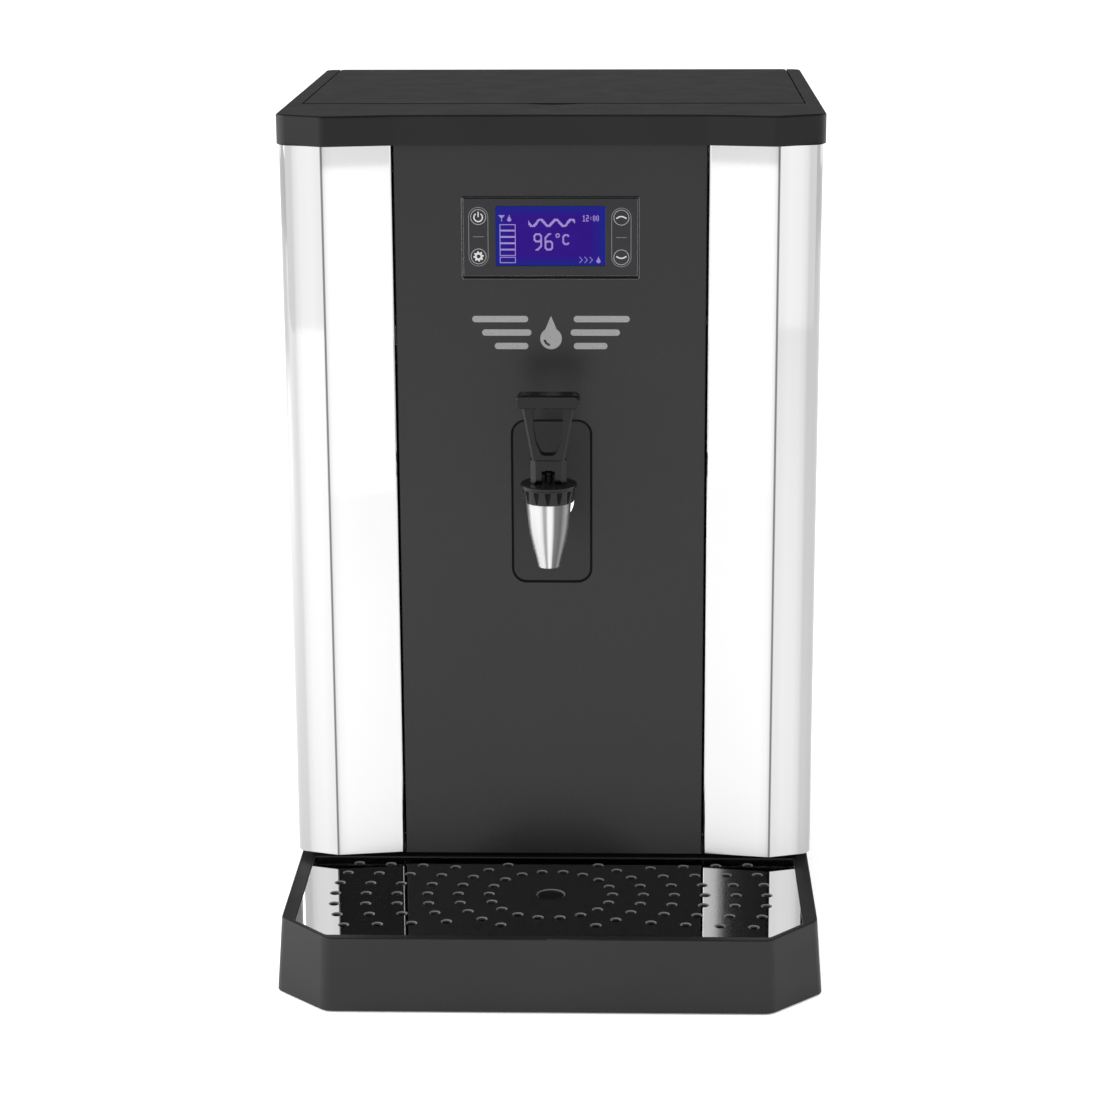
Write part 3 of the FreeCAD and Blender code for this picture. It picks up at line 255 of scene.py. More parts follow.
M["galvanised_steel"] = metal("galvanised_steel_mat", grey(0.52), (0.34, 0.5), (60.0, 60.0, 60.0), 0.1)
M["screw_steel"] = metal("screw_steel_mat", grey(0.55), (0.2, 0.32), (400.0, 400.0, 400.0), 0.08)
M["stem_steel"] = metal("stem_steel_mat", grey(0.62), (0.16, 0.26), (40.0, 40.0, 3000.0), 0.08)
M["tank_steel"] = metal("tank_steel_mat", grey(0.56), (0.28, 0.4), (900.0, 900.0, 16.0), 0.08)
M["element_sheath"] = metal("element_sheath_mat", (0.34, 0.32, 0.28, 1), (0.35, 0.5), (300.0, 300.0, 300.0), 0.1)
M["brass"] = metal("brass_mat", (0.72, 0.5, 0.22, 1), (0.2, 0.34), (2200.0, 60.0, 2200.0), 0.08, (0.62, 0.42, 0.18, 1))

for nm, c0, c1 in (("silicone", "c9c5bb", "d4d0c8"), ("hose_silicone", "cfcdc6", "dcdad4")):
    k = Mat(nm + "_mat", srgb(c0), 0.4, Subsurface_Weight=0.15)
    k.b.inputs["Subsurface Radius"].default_value = (0.002, 0.0018, 0.0015)
    k.colour(k.mix(k.remap(k.noise(40.0), 0.3, 0.7, 0.0, 1.0), srgb(c0), srgb(c1)))
    k.rough(k.remap(k.noise(300.0), 0.3, 0.7, 0.34, 0.48))
    k.bump(k.noise(500.0), 0.1, 0.0002)
    M[nm] = k.m

k = Mat("insulation_mat", srgb("b9b2a3"), 0.95)
k.colour(k.mix(k.remap(k.noise(420.0, 6.0, 0.7), 0.3, 0.7, 0.0, 1.0), srgb("a9a293"), srgb("cbc5b8")))
k.rough(k.remap(k.noise(200.0), 0.3, 0.7, 0.88, 1.0))
k.bump(k.noise(700.0, 6.0, 0.7, 0.6), 0.6, 0.0012)
M["insulation"] = k.m

k = Mat("circuit_board_mat", srgb("14502c"), 0.35)
k.colour(k.mix(k.remap(k.voronoi(160.0, "DISTANCE_TO_EDGE"), 0.02, 0.05, 0.0, 1.0), srgb("1d6a3a"), srgb("12492a")))
k.rough(k.remap(k.noise(300.0), 0.3, 0.7, 0.28, 0.42))
k.bump(k.voronoi(160.0, "DISTANCE_TO_EDGE"), 0.15, 0.0002)
M["circuit_board"] = k.m

# display overlay: satin printed sheet
k = Mat("overlay_mat", srgb("131317"), 0.26)
k.b.inputs["Specular IOR Level"].default_value = 0.24
k.colour(k.mix(k.remap(k.noise(12.0, 3.0), 0.3, 0.7, 0.0, 1.0), srgb("151519"), srgb("18181c")))
k.rough(k.remap(k.noise(60.0, 2.0), 0.3, 0.7, 0.24, 0.3))
k.bump(k.noise(90.0, 2.0), 0.03, 0.0002)
M["gloss_overlay"] = k.m

# a lighter grey for the bezel's side and bottom bevels, a painted highlight
k = Mat("overlay_edge_mat", srgb("565656"), 0.14)
k.b.inputs["Specular IOR Level"].default_value = 0.9
k.rough(k.remap(k.noise(500.0, 2.0), 0.3, 0.7, 0.1, 0.2))
M["overlay_edge"] = k.m

# near-black, painted shade for gaps and for the bezel's upward faces
k = Mat("overlay_gap_mat", srgb("050505"), 0.7)
k.b.inputs["Specular IOR Level"].default_value = 0.1
k.rough(k.remap(k.noise(500.0, 2.0), 0.3, 0.7, 0.65, 0.75))
M["overlay_gap"] = k.m

k = Mat("print_grey_mat", srgb("777777"), 0.5)
k.b.inputs["Specular IOR Level"].default_value = 0.3
k.colour(k.mix(k.remap(k.noise(900.0, 3.0), 0.3, 0.7, 0.0, 1.0), srgb("737373"), srgb("7c7c7c")))
k.rough(k.remap(k.noise(500.0, 2.0), 0.3, 0.7, 0.42, 0.56))
M["print_grey"] = k.m

for key, c0, c1 in (("ring_print", "767676", "808080"), ("outline_print", "565656", "5e5e5e")):
    k = Mat(key + "_mat", srgb(c0), 0.5)
    k.colour(k.mix(k.remap(k.noise(900.0, 3.0), 0.3, 0.7, 0.0, 1.0), srgb(c0), srgb(c1)))
    k.rough(k.remap(k.noise(500.0, 2.0), 0.3, 0.7, 0.42, 0.56))
    M[key] = k.m

k = Mat("icon_print_mat", srgb("c8c8c8"), 0.5)
k.colour(k.mix(k.remap(k.noise(900.0, 3.0), 0.3, 0.7, 0.0, 1.0), srgb("a2a2a2"), srgb("b0b0b0")))
k.rough(k.remap(k.noise(500.0, 2.0), 0.3, 0.7, 0.42, 0.56))
M["icon_print"] = k.m

# LCD: violet backlight, bluer towards the rim
k = Mat("lcd_back_mat", srgb("040308"), 0.12)
lo, hi = 0.4504, 0.4872
sep = k.t.nodes.new("ShaderNodeSeparateXYZ")
k.link(k.co, sep.inputs[0])
ex = k.math("ABSOLUTE", sep.outputs["X"], 0)
ez = k.math("ABSOLUTE", k.math("SUBTRACT", sep.outputs["Z"], (lo + hi) / 2), 0)
edge = k.math("MAXIMUM", k.remap(ex, 0.026, 0.0345, 0.0, 1.0), k.remap(ez, 0.0125, 0.0186, 0.0, 1.0))
glow = k.mix(k.remap(k.noise(60.0, 3.0), 0.3, 0.7, 0.0, 1.0), srgb("2e0d87"), srgb("32108f"))
k.link(k.mix(edge, glow, srgb("152490")), k.b.inputs["Emission Color"])
k.b.inputs["Emission Strength"].default_value = 0.85
k.b.inputs["Specular IOR Level"].default_value = 0.03
k.rough(k.remap(k.noise(900.0, 2.0), 0.3, 0.7, 0.1, 0.16))
M["lcd"] = k.m

# the bonnet's grip: the flutes between its ribs are painted near-black as painted shade, and made rougher
k = Mat("bonnet_plastic_mat", srgb("0d0d0d"), 0.26)
k.b.inputs["Specular IOR Level"].default_value = 0.22
sep = k.t.nodes.new("ShaderNodeSeparateXYZ")
k.link(k.co, sep.inputs[0])
dy = k.math("ADD", sep.outputs["Y"], 0.1587)
rad = k.math("SQRT", k.math("ADD", k.math("MULTIPLY", sep.outputs["X"], sep.outputs["X"]), k.math("MULTIPLY", dy, dy)), 0)
rib = k.math("ADD", k.math("MULTIPLY", k.math("SUBTRACT", sep.outputs["Z"], 0.3121), 0.1348), 0.0157)
painted_flute_shade = k.math("MULTIPLY", k.remap(k.math("SUBTRACT", rib, rad), 0.00004, 0.0003, 0.0, 1.0), k.remap(sep.outputs["Z"], 0.3203, 0.3206, 1.0, 0.0))
# painted shade: near-black in the flutes
k.colour(k.mix(painted_flute_shade, k.mix(k.remap(k.noise(14.0, 4.0), 0.35, 0.68, 0.0, 1.0), srgb("0e0e0e"), srgb("131313")), srgb("040404")))
k.rough(k.math("ADD", k.remap(k.noise(1500.0, 2.0), 0.35, 0.65, 0.24, 0.32), k.math("MULTIPLY", painted_flute_shade, 0.6)))
k.bump(k.voronoi(3000.0), 0.05, 0.00012)
M["bonnet_plastic"] = k.m

k = Mat("lcd_dot_mat", srgb("2a2048"), 0.3)
k.link(k.mix(k.remap(k.noise(70.0, 2.0), 0.3, 0.7, 0.0, 1.0), srgb("9a86c6"), srgb("ab98d2")), k.b.inputs["Emission Color"])
k.b.inputs["Emission Strength"].default_value = 0.85
k.rough(k.remap(k.noise(900.0, 2.0), 0.3, 0.7, 0.25, 0.35))
M["lcd_dot"] = k.m

SPECIAL = {"tap_bonnet": "bonnet_plastic", "lid_frame": "lid_moulding", "access_door": "lid_moulding", "tap_stem": "stem_black", "lever_pivot_pin": "stem_black"}
slot_of = {s["node"]: s["material_slot"] for s in frame["record"]["subparts"]}
for name, ob in NODES.items():
    key = SPECIAL.get(name, slot_of.get(name, "black_moulding"))
    m = M.get(key) or M["black_moulding"]
    if not ob.material_slots:
        ob.data.materials.append(m)
    for sl in ob.material_slots:
        sl.material = m


# ------------------------------------------------------------ mesh helpers
def finish_mesh(name, bm, mat, body, slot, angle=32.0, replaces=()):
    bmesh.ops.remove_doubles(bm, verts=bm.verts, dist=1e-7)
    bmesh.ops.recalc_face_normals(bm, faces=bm.faces)
    me = bpy.data.meshes.new(name)
    bm.to_mesh(me)
    bm.free()
    ob = bpy.data.objects.new(name, me)
    scene.collection.objects.link(ob)
    me.materials.append(M[mat] if isinstance(mat, str) else mat)
    for p in me.polygons:
        p.use_smooth = True
    if angle is not None:
        sharp(me, angle)
    if body:
        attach(ob, body)
    if replaces:
        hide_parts(*replaces)
    return ob


def sharp(me, angle):
    """Marks edges sharper than the angle, so that smooth shading stops there."""
    bm = bmesh.new()
    bm.from_mesh(me)
    lim = math.radians(angle)
    for e in bm.edges:
        e.smooth = not (len(e.link_faces) == 2 and e.calc_face_angle(0.0) > lim)
    bm.to_mesh(me)
    bm.free()


def lathe_bm(bm, profile, centre, segs=96, axis="z", closed=False):
    """Turns (radius, height) points round a vertical or depth axis."""
    rings = []
    for r, h in profile:
        if r <= 1e-9:
            p = (0, 0, h)
            rings.append([bm.verts.new(place(p, centre, axis))])
        else:
            rings.append([bm.verts.new(place((r * math.cos(2 * math.pi * i / segs), r * math.sin(2 * math.pi * i / segs), h), centre, axis))
                          for i in range(segs)])
    pairs = list(zip(rings, rings[1:])) + ([(rings[-1], rings[0])] if closed else [])
    for a, b in pairs:
        if len(a) == 1 and len(b) == 1:
            continue
        for i in range(segs):
            j = (i + 1) % segs
            if len(a) == 1:
                bm.faces.new((a[0], b[i], b[j]))
            elif len(b) == 1:
                bm.faces.new((a[i], b[0], a[j]))
            else:
                bm.faces.new((a[i], b[i], b[j], a[j]))


def place(p, c, axis):
    x, y, h = p
    if axis == "z":
        return (c[0] + x, c[1] + y, c[2] + h)
    if axis == "y":
        return (c[0] + x, c[1] + h, c[2] + y)
    return (c[0] + h, c[1] + x, c[2] + y)


def smooth_profile(pts, n=10):
    """Catmull-Rom through (r, h) points."""
    out = []
    for i in range(len(pts) - 1):
        p0 = pts[max(i - 1, 0)]
        p1, p2 = pts[i], pts[i + 1]
        p3 = pts[min(i + 2, len(pts) - 1)]
        for s in range(n):
            t = s / n
            out.append(tuple(0.5 * ((2 * b) + (c - a) * t + (2 * a - 5 * b + 4 * c - d) * t * t + (3 * b - a - 3 * c + d) * t ** 3)
                             for a, b, c, d in zip(p0, p1, p2, p3)))
    out.append(pts[-1])
    return out


def round_rect(w, h, r, cx=0.0, cy=0.0, n=8):
    pts = []
    for (sx, sy, a0) in ((1, 1, 0), (-1, 1, 90), (-1, -1, 180), (1, -1, 270)):
        for i in range(n + 1):
            a = math.radians(a0 + 90 * i / n)
            pts.append((cx + sx * (w / 2 - r) + r * math.cos(a), cy + sy * (h / 2 - r) + r * math.sin(a)))
    return pts


def circle(r, cx=0.0, cy=0.0, n=40, a0=0.0):
    return [(cx + r * math.cos(a0 + 2 * math.pi * i / n), cy + r * math.sin(a0 + 2 * math.pi * i / n)) for i in range(n)]


def slab(bm, loops, d0, d1, axis="y", bevel=0.0):
    """A plate from an outline and its holes (2-D loops), between depths d0 and d1."""
    def at(p, d):
        return (p[0], d, p[1]) if axis == "y" else (p[0], p[1], d)
    top, bot = [], []
    for lp in loops:
        top.append([bm.verts.new(at(p, d0)) for p in lp])
        bot.append([bm.verts.new(at(p, d1)) for p in lp])
    for side in (top, bot):
        es = []
        for vs in side:
            for i, v in enumerate(vs):
                es.append(bm.edges.new((v, vs[(i + 1) % len(vs)])))
        bmesh.ops.triangle_fill(bm, use_beauty=True, use_dissolve=False, edges=es)
    for a, b in zip(top, bot):
        for i in range(len(a)):
            j = (i + 1) % len(a)
            bm.faces.new((a[i], a[j], b[j], b[i]))


def stroke_loop(points, w, closed=False):
    """Outline of a stroke of width w along points: one loop when open, outer and inner loops when closed."""
    n = len(points)
    left, right = [], []
    for i, p in enumerate(points):
        a = points[(i - 1) % n] if (closed or i > 0) else p
        b = points[(i + 1) % n] if (closed or i < n - 1) else p
        d1 = Vector((p[0] - a[0], p[1] - a[1]))
        d2 = Vector((b[0] - p[0], b[1] - p[1]))
        if d1.length < 1e-12:
            d1 = d2
        if d2.length < 1e-12:
            d2 = d1
        d1.normalize(), d2.normalize()
        m = Vector((-(d1.y + d2.y), d1.x + d2.x))
        m.normalize()
        c = max(0.3, m.dot(Vector((-d1.y, d1.x))))
        k_ = w / 2 / c
        left.append((p[0] + m.x * k_, p[1] + m.y * k_))
        right.append((p[0] - m.x * k_, p[1] - m.y * k_))
    if closed:
        return [left, right]
    return [left + right[::-1]]


def arc(cx, cy, r, a0, a1, n=24):
    return [(cx + r * math.cos(math.radians(a0 + (a1 - a0) * i / n)), cy + r * math.sin(math.radians(a0 + (a1 - a0) * i / n))) for i in range(n + 1)]


# ------------------------------------------------------- display and touch keys
PF = -0.0950            # front panel's face
OF = PF - 0.0014        # overlay's face


def flat(name, items, y0, y1, mat, body, slot, **kw):
    """Thin printed or cut shapes in the front's plane. items is a list of loop lists, in mm."""
    bm = bmesh.new()
    for loops in items:
        slab(bm, [[(x * MM, z * MM) for x, z in lp] for lp in loops], y0, y1)
    return finish_mesh(name, bm, mat, body, slot, angle=20.0, **kw)


ZC = (441.0 + 493.7) / 2
WIN = round_rect(69.5, 37.6, 0.7, 0, 468.8, 4)
bm = bmesh.new()


def frame_loop(dx, dtop, dbot, r):
    w, z0, z1 = 112.8 - 2 * dx, 441.0 + dbot, 493.7 - dtop
    return [(x * MM, z * MM) for x, z in round_rect(w, z1 - z0, r, 0, (z0 + z1) / 2, 6)]


win = lambda d: [(x * MM, z * MM) for x, z in round_rect(69.5 + 2 * d, 37.6 + 2 * d, 0.7 + d, 0, 468.8, 4)]
steps = [(frame_loop(0.0, 0.0, 0.0, 1.6), PF), (frame_loop(0.0, 0.0, 0.0, 1.6), PF - 0.0005), (frame_loop(0.30, 0.3, 0.3, 1.3), PF - 0.0008),
         (frame_loop(0.65, 0.65, 0.65, 1.0), PF - 0.0008), (frame_loop(0.85, 0.85, 0.85, 0.9), PF - 0.0005), (frame_loop(1.15, 0.95, 2.3, 0.8), PF - 0.0005),
         (frame_loop(1.15, 0.95, 2.3, 0.8), OF + 0.0003), (frame_loop(1.45, 1.25, 2.6, 0.6), OF)]
rings = [[bm.verts.new((x, y, z)) for x, z in lp] for lp, y in steps]
for a, b in zip(rings, rings[1:]):
    for i in range(len(a)):
        j = (i + 1) % len(a)
        bm.faces.new((a[i], a[j], b[j], b[i]))
wsteps = [(win(0.35), OF), (win(0.0), OF + 0.0003), (win(0.0), PF)]
wr = [[bm.verts.new((x, y, z)) for x, z in lp] for lp, y in wsteps]
for a, b in zip(wr, wr[1:]):
    for i in range(len(a)):
        j = (i + 1) % len(a)
        bm.faces.new((a[i], a[j], b[j], b[i]))
for ra, rb in ((rings[-1], wr[0]), (rings[0], wr[-1])):
    es = []
    for vs in (ra, rb):
        for i, v in enumerate(vs):
            es.append(bm.edges.get((v, vs[(i + 1) % len(vs)])) or bm.edges.new((v, vs[(i + 1) % len(vs)])))
    bmesh.ops.triangle_fill(bm, use_beauty=True, use_dissolve=False, edges=es)
bezel = finish_mesh("display_bezel", bm, "gloss_overlay", "cabinet", "gloss_overlay", 20.0, ("display_overlay",))
bezel.data.materials.append(M["overlay_edge"])
bezel.data.materials.append(M["overlay_gap"])
# painted light on the bezel: side and bottom bevels get the painted highlight grey; faces at its foot by the panel and
# faces pointing up get painted shade black
for p in bezel.data.polygons:
    c, nrm = p.center, p.normal
    dx, dt, db = 0.0564 - abs(c.x), 0.4937 - c.z, c.z - 0.441
    if c.y > PF - 0.0001 and nrm.y > 0.5 or min(dx, dt) > 0.0015 and db > 0.0027:
        continue
    slanted = 0.15 < abs(nrm.y) < 0.97
    if slanted and nrm.z < 0.5:
        p.material_index = 1
    elif c.y > PF - 0.00055 or nrm.z > 0.5:
        p.material_index = 2

# glass of the display, set back in the window
bm = bmesh.new()
slab(bm, [[(x * MM, z * MM) for x, z in round_rect(69.4, 37.5, 0.65, 0, 468.8, 4)]], OF + 0.0005, PF - 0.0001)
glass = finish_mesh("lcd_glass", bm, "lcd", "cabinet", "lcd", 20.0)

GLYPH = {
    "0": ("010", "101", "101", "101", "101", "101", "010"), "1": ("010", "110", "010", "010", "010", "010", "111"),
    "2": ("111", "001", "001", "111", "100", "100", "111"), ":": ("000", "000", "010", "000", "010", "000", "000"),
}
BIG = {
    "9": ("0011111100", "0111111110", "1110000111", "1100000011", "1100000011", "1100000011", "1100000011", "1110000111", "0111111111", "0011111111",
          "0000000011", "0000000011", "0000000011", "0000000011", "0000000111", "0000001110", "0000011100", "0001111000", "0011110000"),
    "6": ("0000111100", "0001111000", "0011100000", "0111000000", "1110000000", "1100000000", "1100000000", "1100000000", "1111111100", "1111111110",
          "1110000111", "1100000011", "1100000011", "1100000011", "1100000011", "1100000011", "1110000111", "0111111110", "0011111100"),
    "o": ("01110", "11011", "10001", "11011", "01110"),
    "C": ("00111110", "01111111", "11100011", "11000000", "11000000", "11000000", "11000000", "11000000", "11000000", "11100011", "01111111", "00111110"),
}
DROP = ("0001000", "0001000", "0011100", "0011100", "0111110", "0111110", "0011100")
FUNNEL = ("1111111", "0111110", "0011100", "0001000", "0001000", "0001000", "0001000")
CHEV = ("1000", "0100", "0010", "0001", "0010", "0100", "1000")
dots = set()


def stamp(rows, x0, y0, sx=1, sy=1):
    for r, row in enumerate(rows):
        for c, ch in enumerate(row):
            if ch == "1":
                for i in range(sx):
                    for j in range(sy):
                        dots.add((x0 + c * sx + i, y0 + r * sy + j))


stamp(FUNNEL, 3, 9)
stamp(DROP, 12, 9)
for i, ch in enumerate("12:00"):
    stamp(GLYPH[ch], 102 + i * 4 + (1 if i > 2 else 0) * 0, 9)
for k_ in range(6):
    y_ = 19 + int(k_ * 7.2)
    for x_ in range(4, 23):
        dots.add((x_, y_)), dots.add((x_, y_ + 6))
    for y2 in range(y_, y_ + 7):
        dots.add((4, y2)), dots.add((22, y2))
# a running wave where a name would stand
for x_ in range(38, 93):
    for y2 in range(9, 26):
        if min(math.hypot(x_ - u, y2 - 17 - 3.6 * math.sin((u - 38) * 2 * math.pi / 18.33)) for u in [x_ + t * 0.25 for t in range(-12, 13)]) < 1.35:
            dots.add((x_, y2))
stamp(BIG["9"], 44, 29)
stamp(BIG["6"], 57, 29)
stamp(BIG["o"], 70, 29)
stamp(BIG["C"], 78, 30)
for k_ in range(3):
    stamp(CHEV, 98 + k_ * 6, 55)
stamp(DROP, 117, 55)
PX, PZ = 68.7 / 128, 36.8 / 64
bm = bmesh.new()
for cx, cy in sorted(dots):
    x0 = -34.35 + cx * PX + 0.03
    z1 = 487.2 - cy * PZ - 0.03
    bmesh.ops.create_cube(bm, size=1.0, matrix=Matrix.Translation(((x0 + (PX - 0.06) / 2) * MM, OF + 0.00047, (z1 - (PZ - 0.06) / 2) * MM))
                          @ Matrix.Diagonal(((PX - 0.06) * MM, 0.00004, (PZ - 0.06) * MM, 1)))
finish_mesh("lcd_dots", bm, "lcd_dot", "cabinet", "lcd", 20.0)

# printed touch keys
KF = OF
ICON = []
LW = 0.42
for cx, zs in ((-45.6, (480.9, 455.9)), (44.8, (480.5, 455.3))):
    zc = sum(zs) / 2
    ICON.append(stroke_loop(round_rect(12.2, 37.2, 6.05, cx, zc, 12), 0.4, True))
    for z in zs:
        ICON.append(stroke_loop(circle(4.75, cx, z, 40), LW, True))
    ICON.append(stroke_loop([(cx - 3.5, zc), (cx + 3.5, zc)], 0.36))
ICON.append(stroke_loop(arc(-45.6, 480.7, 2.7, 125, 415, 24), 0.75))
ICON.append(stroke_loop([(-45.6, 480.9), (-45.6, 484.2)], 0.75))
teeth = []
for i in range(48):
    ph = (i % 6) / 6.0
    r = 3.3 if ph < 0.5 else 2.45
    a = 2 * math.pi * i / 48
    teeth.append((-45.6 + r * math.cos(a), 455.9 + r * math.sin(a)))
ICON.append([teeth, circle(1.25, -45.6, 455.9, 20)])
ICON.append(stroke_loop([(41.6, 479.9), (43.3, 480.9), (44.8, 481.2), (46.3, 480.9), (48.0, 479.9)], 0.8))
ICON.append(stroke_loop([(41.6, 455.9), (43.3, 454.9), (44.8, 454.6), (46.3, 454.9), (48.0, 455.9)], 0.8))
keys = flat("touch_key_print", ICON, KF - 0.00003, KF + 0.00002, "icon_print", "cabinet", "gloss_overlay")
keys.data.materials.append(M["ring_print"])
keys.data.materials.append(M["outline_print"])
KEYS = [(-45.6, 480.9), (-45.6, 455.9), (44.8, 480.5), (44.8, 455.3)]
for p in keys.data.polygons:
    d_ = min(max(math.hypot(keys.data.vertices[v].co.x * 1000 - x, keys.data.vertices[v].co.z * 1000 - z) for v in p.vertices) for x, z in KEYS)
    p.material_index = 0 if d_ < 4.3 else 1 if d_ < 5.1 else 2

# generic emblem: a droplet between two stacks of rounded bars
EM = []
zc, H = 406.8, 21.6
drop = [(0.0, zc + 10.8)]
for i in range(0, 41):
    a = math.radians(58 - 296 * i / 40)
    drop.append((6.9 * math.cos(a), zc - 3.9 + 6.9 * math.sin(a)))
inner = []
for i in range(0, 13):
    a = math.radians(-100 - 70 * i / 12)
    inner.append((4.2 * math.cos(a), zc - 3.9 + 4.2 * math.sin(a)))
EM.append([drop, [(x, z) for x, z in stroke_loop(inner, 1.5)[0]]])
for s in (-1, 1):
    for i, (x0, x1) in enumerate(((14.5, 50.2), (12.5, 44.0), (14.5, 36.0))):
        z = zc + 8.7 - i * 8.7
        a, b = sorted((s * x0, s * x1))
        EM.append([round_rect(b - a, 4.1, 2.04, (a + b) / 2, z, 8)])
flat("front_emblem", EM, PF - 0.00006, PF + 0.00002, "print_grey", "cabinet", "black_panel")

# painted shadow: a black ring laid in the groove round the tap's plate, where there is only shade
flat("recess_painted_shadow_ring", [[round_rect(52.3, 108.7, 9.7, 0, 295.75, 10), round_rect(50.1, 106.5, 8.6, 0, 295.75, 10)]], PF + 0.0009, PF + 0.00145,
     "overlay_gap", "cabinet", "black_panel")

# tap spring: a wound wire with closed ends, held by the bonnet above and lifted by the stem's collar below
TY = -0.1587
bm = bmesh.new()
turns, per, sides, rw, rc, z0, z1 = 7.4, 44, 10, 0.54 * MM, 5.0 * MM, 0.30062, 0.31828
total = int(turns * per)
prev = first = None
for i in range(total + 1):
    t = i / per
    free = min(max(t - 1.0, 0.0), turns - 2.0)
    z = z0 + 1.16 * MM * min(t, 1.0) + (z1 - z0 - 2 * 1.16 * MM) * free / (turns - 2.0) + 1.16 * MM * max(t - turns + 1.0, 0.0)
    a = 2 * math.pi * t
    ring = []
    for j in range(sides):
        b_ = 2 * math.pi * j / sides
        r = rc + rw * math.cos(b_)
        ring.append(bm.verts.new((r * math.cos(a), TY + r * math.sin(a), z + rw * math.sin(b_))))
    if prev:
        for j in range(sides):
            bm.faces.new((prev[j], prev[(j + 1) % sides], ring[(j + 1) % sides], ring[j]))
    else:
        first = ring
    prev = ring
bm.faces.new(first)
bm.faces.new(prev)
coil = finish_mesh("tap_coil", bm, "stem_steel", None, slot_of["tap_spring"], 50.0, ("tap_spring",))
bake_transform(coil)

# the side sheets mirror the pale floor right down to their bottom edge
for n_ in ("drip_plate", "drip_tray"):
    NODES[n_].visible_glossy = False

# ------------------------------------------------------------------- tap body
# painted reflections: light and dark bands painted round the tap body by angle about its axis stand in for what the
# polished steel would mirror
k = Mat("turned_steel_mat", grey(0.85), 0.2, 0.72)
sep = k.t.nodes.new("ShaderNodeSeparateXYZ")
k.link(k.co, sep.inputs[0])
ang = k.math("ARCTAN2", k.math("MULTIPLY", sep.outputs["X"], 1.0), k.math("SUBTRACT", TY, sep.outputs["Y"]))
painted_reflection_ramp = k.t.nodes.new("ShaderNodeValToRGB")
painted_light_stops = ((0.0, 0.4), (0.16, 0.5), (0.26, 0.3), (0.33, 0.42), (0.38, 0.40), (0.43, 0.46), (0.452, 0.40), (0.468, 0.2), (0.484, 0.22), (0.50, 0.52), (0.528, 0.5),
         (0.55, 0.11), (0.60, 0.07), (0.635, 0.17), (0.69, 0.24), (0.74, 0.17), (0.80, 0.5), (0.90, 0.5), (1.0, 0.4))
cr = painted_reflection_ramp.color_ramp
while len(cr.elements) < len(painted_light_stops):
    cr.elements.new(0.5)
for el, (pos, v) in zip(cr.elements, painted_light_stops):
    el.position, el.color = pos, (v, v, v, 1)
k.link(k.remap(ang, -math.pi, math.pi, 0.0, 1.0), painted_reflection_ramp.inputs[0])
k.colour(painted_reflection_ramp.outputs[0])
turn = k.noise(1.0, 3.0, 0.6, 0.0, (50.0, 50.0, 5200.0))
k.rough(k.remap(turn, 0.3, 0.7, 0.16, 0.26))
k.bump(turn, 0.05, 0.00003)
M["turned_steel"] = k.m
spline = smooth_profile([(6.7, 269.9), (8.6, 277.5), (9.9, 282.5), (11.95, 291.7), (13.1, 301.0), (14.1, 312.0)], 12)
prof = [(4.6, 270.0), (4.9, 269.6), (5.3, 269.5), (6.3, 269.5)] + spline + [(9.0, 312.0), (9.0, 288.6), (7.4, 286.8), (6.0, 286.8), (6.0, 287.8), (5.8, 288.0), (4.6, 288.0)]
bm = bmesh.new()
lathe_bm(bm, [(r * MM, z * MM) for r, z in prof], (0, TY, 0), 128, "z", True)
lathe_bm(bm, [(r * MM, y * MM) for r, y in ((8.5, -150.0), (8.5, -80.4), (8.1, -80.0), (6.5, -80.0), (6.5, -70.3), (6.2, -70.0), (5.4, -70.0), (5.4, -150.0))],
         (0, 0, 0.297), 64, "y", True)
finish_mesh("tap_body_turned", bm, "turned_steel", "cabinet", "tap_chrome", 34.0, ("tap_body",))

# ------------------------------------------------------------ camera and light
cam_data = bpy.data.cameras.new("camera")
cam = bpy.data.objects.new("camera", cam_data)
scene.collection.objects.link(cam)
scene.camera = cam
p_, y_, roll = math.radians(14.78), math.radians(1.53), math.radians(-0.23)
f_ = Vector((-math.sin(y_) * math.cos(p_), math.cos(y_) * math.cos(p_), -math.sin(p_)))
r_ = Vector((math.cos(y_), math.sin(y_), 0))
u_ = r_.cross(f_)
r2 = r_ * math.cos(roll) + u_ * math.sin(roll)
u2 = u_ * math.cos(roll) - r_ * math.sin(roll)
cam.matrix_world = Matrix(((r2.x, u2.x, -f_.x, 0.0548), (r2.y, u2.y, -f_.y, -1.8634), (r2.z, u2.z, -f_.z, 0.7301), (0, 0, 0, 1)))
cam_data.sensor_fit = "HORIZONTAL"
cam_data.sensor_width = 36.0
cam_data.lens = 92.0
cam_data.shift_x = -0.0125
cam_data.dof.use_dof = False
cam_data.clip_start, cam_data.clip_end = 0.05, 60.0

scene.view_settings.view_transform = "Standard"
scene.view_settings.look = "None"

world = bpy.data.worlds.new("studio")
scene.world = world
world.use_nodes = True
world.node_tree.nodes["Background"].inputs["Color"].default_value = (1.0, 1.0, 1.0, 1)
world.node_tree.nodes["Background"].inputs["Strength"].default_value = 0.03


def stage_mesh(name, verts, faces, mat):
    me = bpy.data.meshes.new(name)
    me.from_pydata(verts, [], faces)
    ob = bpy.data.objects.new(name, me)
    scene.collection.objects.link(ob)
    me.materials.append(mat)
    for p in me.polygons:
        p.use_smooth = True
    ob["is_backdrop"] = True
    return ob


def glow(name, strength):
    k = Mat(name, grey(0.0), 1.0)
    k.b.inputs["Specular IOR Level"].default_value = 0.0
    k.b.inputs["Emission Color"].default_value = (1, 1, 1, 1)
    k.b.inputs["Emission Strength"].default_value = strength
    return k.m


